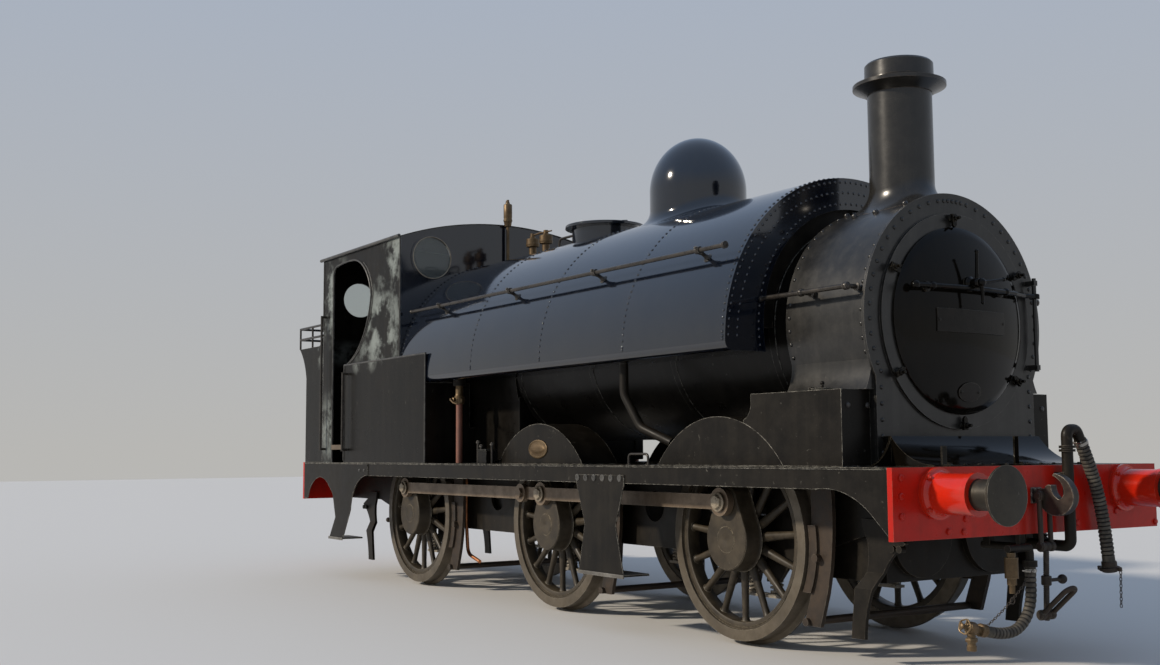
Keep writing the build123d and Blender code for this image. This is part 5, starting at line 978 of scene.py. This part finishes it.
knuckle = [(0, 0.030), (0.004, 0.034), (0.032, 0.034), (0.036, 0.030)]
turned(bm, knuckle, hinge - Vector((0, 0, 0.018)), up, 24)
spindle_z = 0.229
turned(
    bm,
    [
        (-0.040, 0.050), (0.002, 0.048), (0.010, 0.038), (0.018, 0.031), (0.052, 0.031), (0.058, 0.026),
        (0.062, 0.020), (0.100, 0.018), (0.103, 0.014),
    ],
    (3.990, 0, boiler_z + spindle_z), fore, 24,
)
handle_places = (
    ((4.043, 0, spindle_z), (4.043, 0, 0.300), (4.047, 0, 0.432)),
    ((4.078, 0.214, 0.262), (4.078, 0.08, 0.240), (4.078, 0, spindle_z)),
    ((4.078, 0, spindle_z), (4.080, 0, 0.17), (4.082, 0, 0.099)),
)
grip, arm, tail = [[Vector((x, y, boiler_z + z)) for x, y, z in places] for places in handle_places]
tube(bm, grip, [0.016, 0.012, 0.010], 12)
ball(bm, grip[0], 0.034, fore, 18)
ball(bm, grip[2], 0.014, up, 12)
tube(bm, arm, [0.009, 0.011, 0.015], 12)
tube(bm, tail, [0.015, 0.011, 0.009], 12)
ball(bm, arm[0], 0.014, left, 12)
ball(bm, tail[2], 0.012, up, 12)
ball(bm, arm[-1], 0.028, fore, 18)
finished("smokebox_door_plate", bm, door_black, "door", ("smokebox_door",), angle=30)


def dished_plate(bm, middle_y, middle_z, half_width, half_height, thickness, oval=False):
    """Blank plate bent to the door's dish: square-cornered, or oval."""
    loops, steps, stand = [], 24, -0.002
    for i in range(steps + 1):
        across = -1 + 2 * i / steps
        y = middle_y + half_width * (sin(across * pi / 2) if oval else across)
        share = sqrt(max(1 - ((y - middle_y) / half_width) ** 2, 0.0004)) if oval else 1.0
        low, high = middle_z - half_height * share, middle_z + half_height * share
        back = [on_door(y, z) + Vector((stand, 0, 0)) for z in (low, middle_z, high)]
        front = [point + Vector((thickness, 0, 0)) for point in reversed(back)]
        loops.append(back + front)
    rings(bm, loops)


number_plate_z, shed_plate_z = -0.0136, -0.4636
bm = bmesh.new()
dished_plate(bm, 0.020, number_plate_z, 0.3225, 0.075, 0.012)
finished("number_plate_blank", bm, plate_paint, "door", bevel=0.003)
bm = bmesh.new()
dished_plate(bm, 0.017, shed_plate_z, 0.105, 0.062, 0.011, oval=True)
finished("shed_plate_blank", bm, plate_paint, "door", bevel=0.002)
screw_spots = []
for z, stand, places in ((number_plate_z, 0.010, (-0.285, 0.325)), (shed_plate_z, 0.009, (-0.065, 0.099))):
    screw_spots += [(on_door(y, z) + Vector((stand, 0, 0)), fore) for y in places]
screw_head = (([(-0.004, 0.0095), (0.003, 0.0095), (0.0055, 0.006)], 12),)
fixings("plate_screws", screw_spots, screw_head, plate_paint, "door")

# Dogs round the smokebox door: a stud, a nut and a clamp that reaches to the door's rim
dog_places = (
    (-0.605, 2.450), (-0.041, 2.806), (0.575, 2.476), (-0.588, 1.792), (0.542, 1.763), (0.003, 1.469),
)
bm = bmesh.new()
for y, z in dog_places:
    inward = Vector((0, -y, boiler_z - z)).normalized()
    flat = inward.cross(Vector(fore))
    foot = Vector((3.882, y, z))
    dog = [(-0.030, -0.020), (0.045, -0.016), (0.060, 0.0), (0.045, 0.016), (-0.030, 0.020)]
    plate(bm, dog, foot + Vector((0.014, 0, 0)), inward, -flat, 0.020)
    turned(bm, [(0, 0.024), (0.006, 0.024), (0.008, 0.020), (0.016, 0.020)], foot, fore, 18)
    nut(bm, foot + Vector((0.034, 0, 0)), fore, 0.019, 0.020)
    turned(bm, [(0.054, 0.010), (0.078, 0.010), (0.080, 0.008)], foot, fore, 12)
finished("door_dogs", bm, door_black, bevel=0.002)

# Rivets
tank_seams = (-0.5155, 0.6495, 1.8145)
tank_rows = []
for x in tank_seams:
    tank_rows.append(arc_row(x, tank_radius, tank_z, 4, 176))
for x in (tank_rear + 0.030, tank_front - 0.030):
    tank_rows.append(arc_row(x, tank_radius, tank_z, 3, 177))
for side in sides:
    for x in (tank_rear + 0.030, *tank_seams, tank_front - 0.030):
        face = side * tank_radius
        tank_rows.append(row((x, face, tank_z + 0.035), (x, face, tank_bottom + 0.075), (0, side, 0)))
rivets("tank_rivets", tank_rows, 0.047, 0.0115, 0.0075, gloss_black, "tank_black")
end_rows = []
for reach in (0.030, 0.105):
    end_rows.append(arc_row(tank_front, tank_radius - reach, tank_z, 2, 178, way=fore))
end_rows.append(arc_row(tank_front, tank_arch + 0.040, boiler_z, -8, 188, way=fore))
end_rows.append(arc_row(tank_rear, tank_radius - 0.030, tank_z, 2, 178, way=(-1, 0, 0)))
rivets("tank_end_rivets", end_rows, 0.052, 0.011, 0.0065, gloss_black, "tank_black")

front_ring = 0.785
smokebox_rows = [
    arc_row(smokebox_front, front_ring, boiler_z, -22, 80, way=fore),
    arc_row(smokebox_front, front_ring, boiler_z, 100, 202, way=fore),
    arc_row(3.170, smokebox_radius, boiler_z, -16, 196),
    arc_row(smokebox_front - 0.050, smokebox_radius, boiler_z, -16, 196),
]
for side in sides:
    side_y = side * 0.700
    smokebox_rows.append(row((smokebox_front, side_y, 1.800), (smokebox_front, side_y, 1.300), fore))
smokebox_rows.append(row((smokebox_front, -0.640, 1.262), (smokebox_front, 0.640, 1.262), fore))
top_row = [arc_row(smokebox_front, front_ring, boiler_z, 84, 96, way=fore)]
smokebox_head = (0.0150, 0.0095, smokebox_black, "smokebox_black")
rivets("smokebox_rivets", smokebox_rows, 0.088, *smokebox_head)
rivets("smokebox_top_rivets", top_row, 0.041, *smokebox_head)

plate_rows = []
for side in sides:
    for low, high in ((beam_x - 0.38, 3.62), (0.60, -0.08)):
        plate_rows.append(row((low, side * 0.95, plate_z), (high, side * 0.95, plate_z), up))
    plate_rows.append(row((4.30, side * 0.60, plate_z + 0.010), (4.30, side * 0.10, plate_z + 0.010), up))
rivets("running_plate_rivets", plate_rows, 0.11, 0.012, 0.006, plate_black, "plate_black")

# Nuts and bolt heads on the front and rear beams
beam_bolts = (
    (-1.157, 1.162), (-1.157, 1.059), (-1.157, 0.947), (-0.778, 0.851), (-0.650, 0.846), (-0.631, 0.919),
    (0.804, 1.170), (0.775, 1.024), (0.786, 0.922), (1.201, 0.841), (1.157, 1.162), (1.157, 1.059),
    (0.640, 0.851), (-0.300, 1.150), (-0.300, 0.900), (0.390, 0.860), (-0.560, 1.162), (0.560, 1.162),
)
head_spots = [((end * beam_x, end * y, z), (end, 0, 0)) for end in (1, -1) for y, z in beam_bolts]
beam_head = (([(-0.002, 0.020), (0.008, 0.019), (0.013, 0.013)], 14),)
fixings("beam_rivets", head_spots, beam_head, beam_red)
buffer_y, buffer_z, bolt_circle = 0.870, 1.0686, 0.1330
nut_spots = []
for end in (1, -1):
    for side in sides:
        for k in range(4):
            a = radians(45 + 90 * k)
            y, z = side * buffer_y + bolt_circle * cos(a), buffer_z + bolt_circle * sin(a)
            nut_spots.append(((end * (beam_x + 0.024), y, z), (end, 0, 0)))
fixings("buffer_nuts", nut_spots, nut_parts(0.0155, 0.018), housing_red)

# Flat side sheets of the firebox clothing, and the rims of the round cab windows
bm = bmesh.new()
for side in sides:
    block(bm, (-1.960, -0.537), sorted((side * 0.590, side * 0.688)), (1.240, 1.812))
finished("firebox_side_sheets", bm, box_black, bevel=0.008)
bm = bmesh.new()
for side in sides:
    middle = Vector((tank_rear + 0.0105, side * 0.850, rail_z + 3.225))
    tube(bm, circle(middle, Vector(left), Vector(up), 0.2085, 40), 0.0048, 8, closed=True)
finished("window_rims", bm, nut_steel)

# Handrail knobs and pillars
bm = bmesh.new()
rail_y, rail_level = 1.125, 2.6836
pipe_y, pipe_level = 0.905, 2.3236
for side in sides:
    knob = Vector((0, side * rail_y, rail_level))
    out = (knob - Vector((0, 0, tank_z))).normalized()
    for x in (tank_rear + 0.725, tank_rear + 2.025, tank_rear + 3.325, tank_front - 0.364):
        foot = Vector((x, 0, tank_z)) + out * (tank_radius - 0.004)
        ball_place = knob + Vector((x, 0, 0))
        reach = (ball_place - foot).length
        turned(
            bm,
            [
                (0, 0.034), (0.008, 0.034), (0.012, 0.022), (0.030, 0.0145), (reach - 0.040, 0.0145),
                (reach - 0.024, 0.021),
            ],
            foot, out, 18,
        )
        ball(bm, ball_place, 0.028, fore, 18)
        nut(bm, ball_place + out * 0.024, out, 0.0125, 0.014)
    for x in (smokebox_front - 0.474, smokebox_front - 0.074):
        knob_place = (x, side * pipe_y, pipe_level)
        ball(bm, knob_place, 0.027, fore, 18)
        pillar = [(-0.095, 0.026), (-0.085, 0.026), (-0.080, 0.016), (-0.020, 0.014)]
        turned(bm, pillar, knob_place, (0, side, 0), 16)
    for x, y, z in (
        (tank_rear + 0.125, rail_y, rail_level), (tank_front - 0.089, rail_y, rail_level),
        (tank_front + 0.026, pipe_y, pipe_level),
    ):
        ball(bm, (x, side * y, z), 0.020, fore, 14)
finished("handrail_knobs", bm, rail_steel)

# Grab loop and lid strap on top of the tank
bm = bmesh.new()
tank_top = tank_z + tank_radius
loop_rear, loop_front, loop_rise = -0.935, -0.660, 0.126
loop_turns = ((loop_rear, 0), (loop_rear, loop_rise), (loop_front, loop_rise), (loop_front, 0))
tube(bm, bend([(x, 0, tank_top + z) for x, z in loop_turns], 0.055), 0.0125, 14)
for x in (loop_rear, loop_front):
    turned(bm, [(-0.004, 0.036), (0.008, 0.036), (0.012, 0.026), (0.030, 0.018)], (x, 0, tank_top), up, 20)
finished("tank_grab_loop", bm, rail_steel)
bm = bmesh.new()
lid_top = tank_top + 0.131
plate(
    bm, [(-0.520, -0.032), (0.170, -0.032), (0.200, 0.0), (0.170, 0.032), (-0.520, 0.032)],
    (0.0, 0, lid_top - 0.002), fore, left, 0.012,
)
handle_line = [
    (-0.290, y, lid_top + z)
    for y, z in ((0.075, 0), (0.075, 0.060), (-0.075, 0.060), (-0.075, 0))
]
tube(bm, bend(handle_line, 0.025), 0.009, 12)
for x in (-0.460, -0.300, -0.020, 0.110):
    turned(bm, [(0.008, 0.013), (0.014, 0.011), (0.018, 0.006)], (x, 0, lid_top), up, 12)
lid_band = [(-0.028, 0.3600), (-0.024, 0.3635), (-0.005, 0.3635), (-0.001, 0.3600)]
turned(bm, lid_band, (-0.156, 0, lid_top), up, 72)
finished("filler_lid_strap", bm, gloss_black, "filler_cover", bevel=0.002)

# Chimney bolts round the edge of its cast flare
bm = bmesh.new()
for k in range(12):
    a = radians(15 + 30 * k)
    y = 0.372 * sin(a)
    out = Vector((0, y, sqrt(smokebox_radius**2 - y * y))) / smokebox_radius
    place = Vector((chimney_x + 0.372 * cos(a), 0, boiler_z)) + out * (smokebox_radius + 0.004)
    turned(bm, [(-0.004, 0.021), (0.010, 0.020), (0.019, 0.012)], place, out, 14)
finished("chimney_bolts", bm, chimney_black)

# Cab: beading round the doorways and along the side sheets, and the rain strips of the roof
bm = bmesh.new()
doorway = [(-3.655, 1.240), (-3.655, 3.2286)]
for middle, end in (
    ((-3.627, 3.3046), (-3.555, 3.3366)), ((-3.330, 3.3546), (-3.110, 3.3506)),
    ((-2.832, 3.2316), (-2.660, 2.9346)), ((-2.770, 2.6286), (-3.286, 2.2436)),
):
    doorway += arc_through(doorway[-1], middle, end, 12)
outer_bead = [(-3.110, 3.3506)] + arc_through((-3.110, 3.3506), (-2.832, 3.2316), (-2.660, 2.9346), 12)
outer_bead += arc_through((-2.660, 2.9346), (-2.770, 2.6286), (-3.286, 2.2436), 12)
straight_beads = (
    ((-3.286, 1.240), (-3.286, 2.236), 1.219, 0.0095, 10),
    ((-3.300, 2.2440), (-1.372, 2.2440), 1.213, 0.0105, 10),
    ((-1.378, 2.238), (-1.378, 1.232), 1.216, 0.0085, 10),
    ((-1.984, 3.440), (-1.984, 2.250), 1.194, 0.0085, 10),
    ((-3.940, 3.440), (-3.940, 2.66), 1.194, 0.0085, 10),
    ((-4.000, 3.450), (-1.980, 3.450), 1.208, 0.0175, 12),
)
for side in sides:
    tube(bm, [(x, side * 1.197, z) for x, z in doorway], 0.0105, 10)
    tube(bm, [(x + 0.045, side * 1.196, z + 0.010) for x, z in outer_bead[4:]], 0.0075, 8)
    for start, end, y, radius, steps in straight_beads:
        tube(bm, [(x, side * y, z) for x, z in (start, end)], radius, steps)
finished("cab_beading", bm, bead_paint)

# Blank oval plates on the middle splashers
bm = bmesh.new()
for side in sides:
    loops = []
    for height, inset in (
        (-0.002, 0.0), (0.006, 0.0), (0.009, 0.004), (0.009, 0.011), (0.005, 0.014), (0.005, 0.045),
        (0.008, 0.050), (0.008, 0.070),
    ):
        loop = []
        for k in range(48):
            a = 2 * pi * k / 48
            reach_x, reach_z = (0.147 - inset) * cos(a), (0.078 - inset) * sin(a)
            loop.append(Vector((0.2635 + reach_x, side * (0.978 + height), 1.340 + reach_z)))
        loops.append(loop)
    rings(bm, loops)
finished("splasher_plates", bm, brass)

# Hoop handles, lubricator boxes and drain pipes along the running plate
bm = bmesh.new()
for side in sides:
    hoop_y = side * 1.15
    hoop = [(x, hoop_y, plate_z + z) for x, z in ((1.810, 0), (1.810, 0.080), (2.047, 0.080), (2.047, 0))]
    tube(bm, bend(hoop, 0.035), 0.0095, 12)
    for x in (1.810, 2.047):
        turned(bm, [(-0.002, 0.022), (0.005, 0.022), (0.008, 0.016)], (x, hoop_y, plate_z), up, 16)
    for x, height in ((-0.647, 0.185), (-0.590, 0.150), (-0.395, 0.165)):
        rod(bm, (x, side * 1.050, plate_z - 0.002), (x, side * 1.050, plate_z + height), 0.012, 12)
        nut(bm, (x, side * 1.050, plate_z + height - 0.004), up, 0.017, 0.018)
finished("plate_handles", bm, rail_steel)
bm = bmesh.new()
for side in sides:
    span = sorted((side * 1.005, side * 1.095))
    block(bm, (-0.565, -0.420), span, (plate_z - 0.002, plate_z + 0.112))
    block(bm, (-0.575, -0.410), sorted((side * 0.995, side * 1.105)), (plate_z + 0.112, plate_z + 0.126))
finished("lubricator_boxes", bm, box_black, bevel=0.004)
bm = bmesh.new()
for side in sides:
    drain_y = side * 0.656
    drain = ((-1.600, 1.185), (-1.600, 0.640), (-1.565, 0.350), (-1.330, 0.290))
    tube(bm, bend([(x, drain_y, z) for x, z in drain], 0.10), 0.0170, 14)
    union = [(-0.018, 0.024), (-0.014, 0.027), (0.014, 0.027), (0.018, 0.024)]
    turned(bm, union, (-1.600, drain_y, 1.020), up, 6)
finished("drain_pipes", bm, copper)

# Feed pipes in red-brown paint, with a brass clack valve and its lever
feed_x, feed_y = -1.100, 1.000
bm = bmesh.new()
for side in sides:
    rod(bm, (feed_x, side * feed_y, plate_z + 0.001), (feed_x, side * feed_y, 1.772), 0.0302, 24)
finished("feed_pipe_sleeves", bm, pipe_rust)
bm = bmesh.new()
for side in sides:
    foot = Vector((feed_x, side * feed_y, 1.760))
    body = [(0, 0.040), (0.006, 0.047), (0.070, 0.047), (0.078, 0.040), (0.096, 0.036), (0.172, 0.036)]
    turned(bm, body, foot, up, 24)
    turned(bm, [(0.015, 0.0500), (0.020, 0.0530), (0.045, 0.0530), (0.050, 0.0500)], foot, up, 6)
    outlet = [(0.030, 0.022), (0.070, 0.022), (0.074, 0.014), (0.095, 0.012)]
    turned(bm, outlet, foot + Vector((0, 0, 0.040)), (0, side, 0), 16)
    lever_foot = foot + Vector((0, side * 0.092, 0.040))
    lever = [lever_foot + Vector((x, 0, z)) for x, z in ((0, 0), (0.055, -0.030), (0.130, -0.045))]
    tube(bm, lever, [0.010, 0.008, 0.006], 10)
finished("feed_valves", bm, brass, bevel=0.001)

# Steps: worn tread plates, and the bolts of the middle hangers
bm = bmesh.new()
for side in sides:
    for low, high in ((1.250, 1.836), (-3.640, -3.280)):
        for inner, outer, bottom in ((1.002, 1.231, 0.4300), (1.224, 1.232, 0.4080)):
            block(bm, (low - 0.006, high + 0.006), sorted((side * inner, side * outer)), (bottom, 0.4350))
finished("step_treads", bm, tread_iron, bevel=0.0015)
bm = bmesh.new()
for side in sides:
    face_y = side * 1.2235
    for k in range(6):
        place = (1.240 + 0.1110 * k, face_y, 1.1240)
        turned(bm, [(0, 0.026), (0.005, 0.025), (0.006, 0.016), (0.003, 0.013)], place, (0, side, 0), 18)
    for x in (-2.74, -2.86):
        turned(bm, [(0, 0.016), (0.006, 0.014), (0.009, 0.008)], (x, face_y, 1.140), (0, side, 0), 12)
    for y in (side * 0.922, side * 0.755):
        turned(bm, [(0, 0.018), (0.007, 0.016), (0.011, 0.010)], (3.7955, y, 1.590), fore, 12)
finished("hanger_bolts", bm, bead_paint)

# Whistle and safety valves: turned flanges, levers and hexagons over the plain pillars
bm = bmesh.new()
for x in (-1.435, -1.185):
    foot = Vector((x, 0, tank_top))
    turned(bm, [(0.010, 0.082), (0.018, 0.080), (0.022, 0.050), (0.040, 0.040)], foot, up, 24)
    turned(
        bm,
        [
            (0.112, 0.040), (0.120, 0.062), (0.130, 0.067), (0.150, 0.067), (0.165, 0.055), (0.190, 0.048),
            (0.200, 0.030),
        ],
        foot, up, 28,
    )
    turned(bm, [(0.200, 0.030), (0.216, 0.030), (0.220, 0.024)], foot, up, 6)
valve_lever = [(x, 0, tank_top + z) for x, z in ((-1.480, 0.232), (-1.300, 0.240), (-1.080, 0.232))]
tube(bm, valve_lever, [0.008, 0.010, 0.007], 10)
whistle_foot = Vector((tank_rear + 0.046, 0, 0))
turned(
    bm,
    [
        (3.640, 0.034), (3.700, 0.044), (3.7035, 0.047), (3.7100, 0.047), (3.7130, 0.030), (3.7135, 0.016),
        (3.7240, 0.016), (3.7250, 0.043), (3.7300, 0.0445), (3.8640, 0.0445), (3.8700, 0.040),
        (3.8790, 0.022), (3.8950, 0.018), (3.9000, 0.012),
    ],
    whistle_foot, up, 32,
)
cord_places = ((0, 3.905), (-0.030, 3.912), (-0.052, 3.86), (-0.056, 3.66))
tube(bm, [whistle_foot + Vector((x, 0, z)) for x, z in cord_places], 0.005, 8)
finished("whistle_and_valve_caps", bm, brass)

node_finish = (
    (
        frame_black,
        "main_frames frame_stretchers cylinder_block guard_irons tank_brackets tank_pipes vacuum_pipe",
    ),
    (rusty_iron, "axleboxes springs drawhooks brake_gear hose_coupling"),
    (plate_black, "running_plate side_steps splashers sandboxes right_sandbox_lid left_sandbox_lid"),
    (beam_red, "front_beam rear_beam"), (housing_red, "buffer_housings"), (head_steel, "buffers"),
    (wheel_grey, "wheelset_front wheelset_middle wheelset_rear"),
    (tyre_steel, "tyres_front tyres_middle tyres_rear"),
    (rod_steel, "right_front_rod right_rear_rod left_front_rod left_rear_rod"),
    (box_black, "boiler firebox cab_roof side_box_right side_box_left cab_rear bunker"),
    (smokebox_black, "smokebox"), (door_black, "smokebox_door front_apron"), (chimney_black, "chimney"),
    (gloss_black, "saddle_tank dome filler filler_lid cab_front"),
    (cab_black, "cab_side_right cab_side_left"), (brass, "safety_valves whistle heating_cock"),
    (window_glass, "window_glass"), (floor_boards, "cab_floor"),
    (rail_steel, "coal_rails handrails cab_handrails"), (hose_rubber, "vacuum_hose heating_hose"),
)
for finish, names in node_finish:
    for name in names.split():
        nodes[name].data.materials.clear()
        nodes[name].data.materials.append(finish)

# Floor, sky and sun
floor_finish, _, floor_shader = fresh("pale_floor")
floor_shader.inputs["Base Color"].default_value = (0.60, 0.59, 0.57, 1)
floor_shader.inputs["Roughness"].default_value = 0.9
floor_mesh = bpy.data.meshes.new("floor")
floor_half = 60
floor_corners = [(x * floor_half, y * floor_half, 0) for x, y in ((-1, -1), (1, -1), (1, 1), (-1, 1))]
floor_mesh.from_pydata(floor_corners, [], [(0, 1, 2, 3)])
floor_mesh.materials.append(floor_finish)
floor = bpy.data.objects.new("floor", floor_mesh)
scene.collection.objects.link(floor)

world = bpy.data.worlds.new("sky")
scene.world = world
world.use_nodes = True
sky_tree = world.node_tree
sky = sky_tree.nodes["Background"]
sky_way = add(sky_tree, "ShaderNodeTexCoord").outputs["Generated"]
sky_height = add(sky_tree, "ShaderNodeSeparateXYZ", {"Vector": sky_way}).outputs["Z"]
horizon_colour, zenith_colour = (0.80, 0.79, 0.76), (0.54, 0.69, 0.95)
sky_colour = blended(sky_tree, between(sky_tree, sky_height, 0.0, 0.6), horizon_colour, zenith_colour)
sky_tree.links.new(sky_colour, sky.inputs["Color"])
sky.inputs["Strength"].default_value = 0.60

sun_data = bpy.data.lights.new("sun", "SUN")
sun_data.energy = 3.4
sun_data.angle = radians(4)
sun_data.color = (1.0, 0.89, 0.74)
sun = bpy.data.objects.new("sun", sun_data)
sun_way = Vector((0.35, 0.80, -0.48))
sun.rotation_euler = sun_way.to_track_quat("-Z", "Y").to_euler()
scene.collection.objects.link(sun)
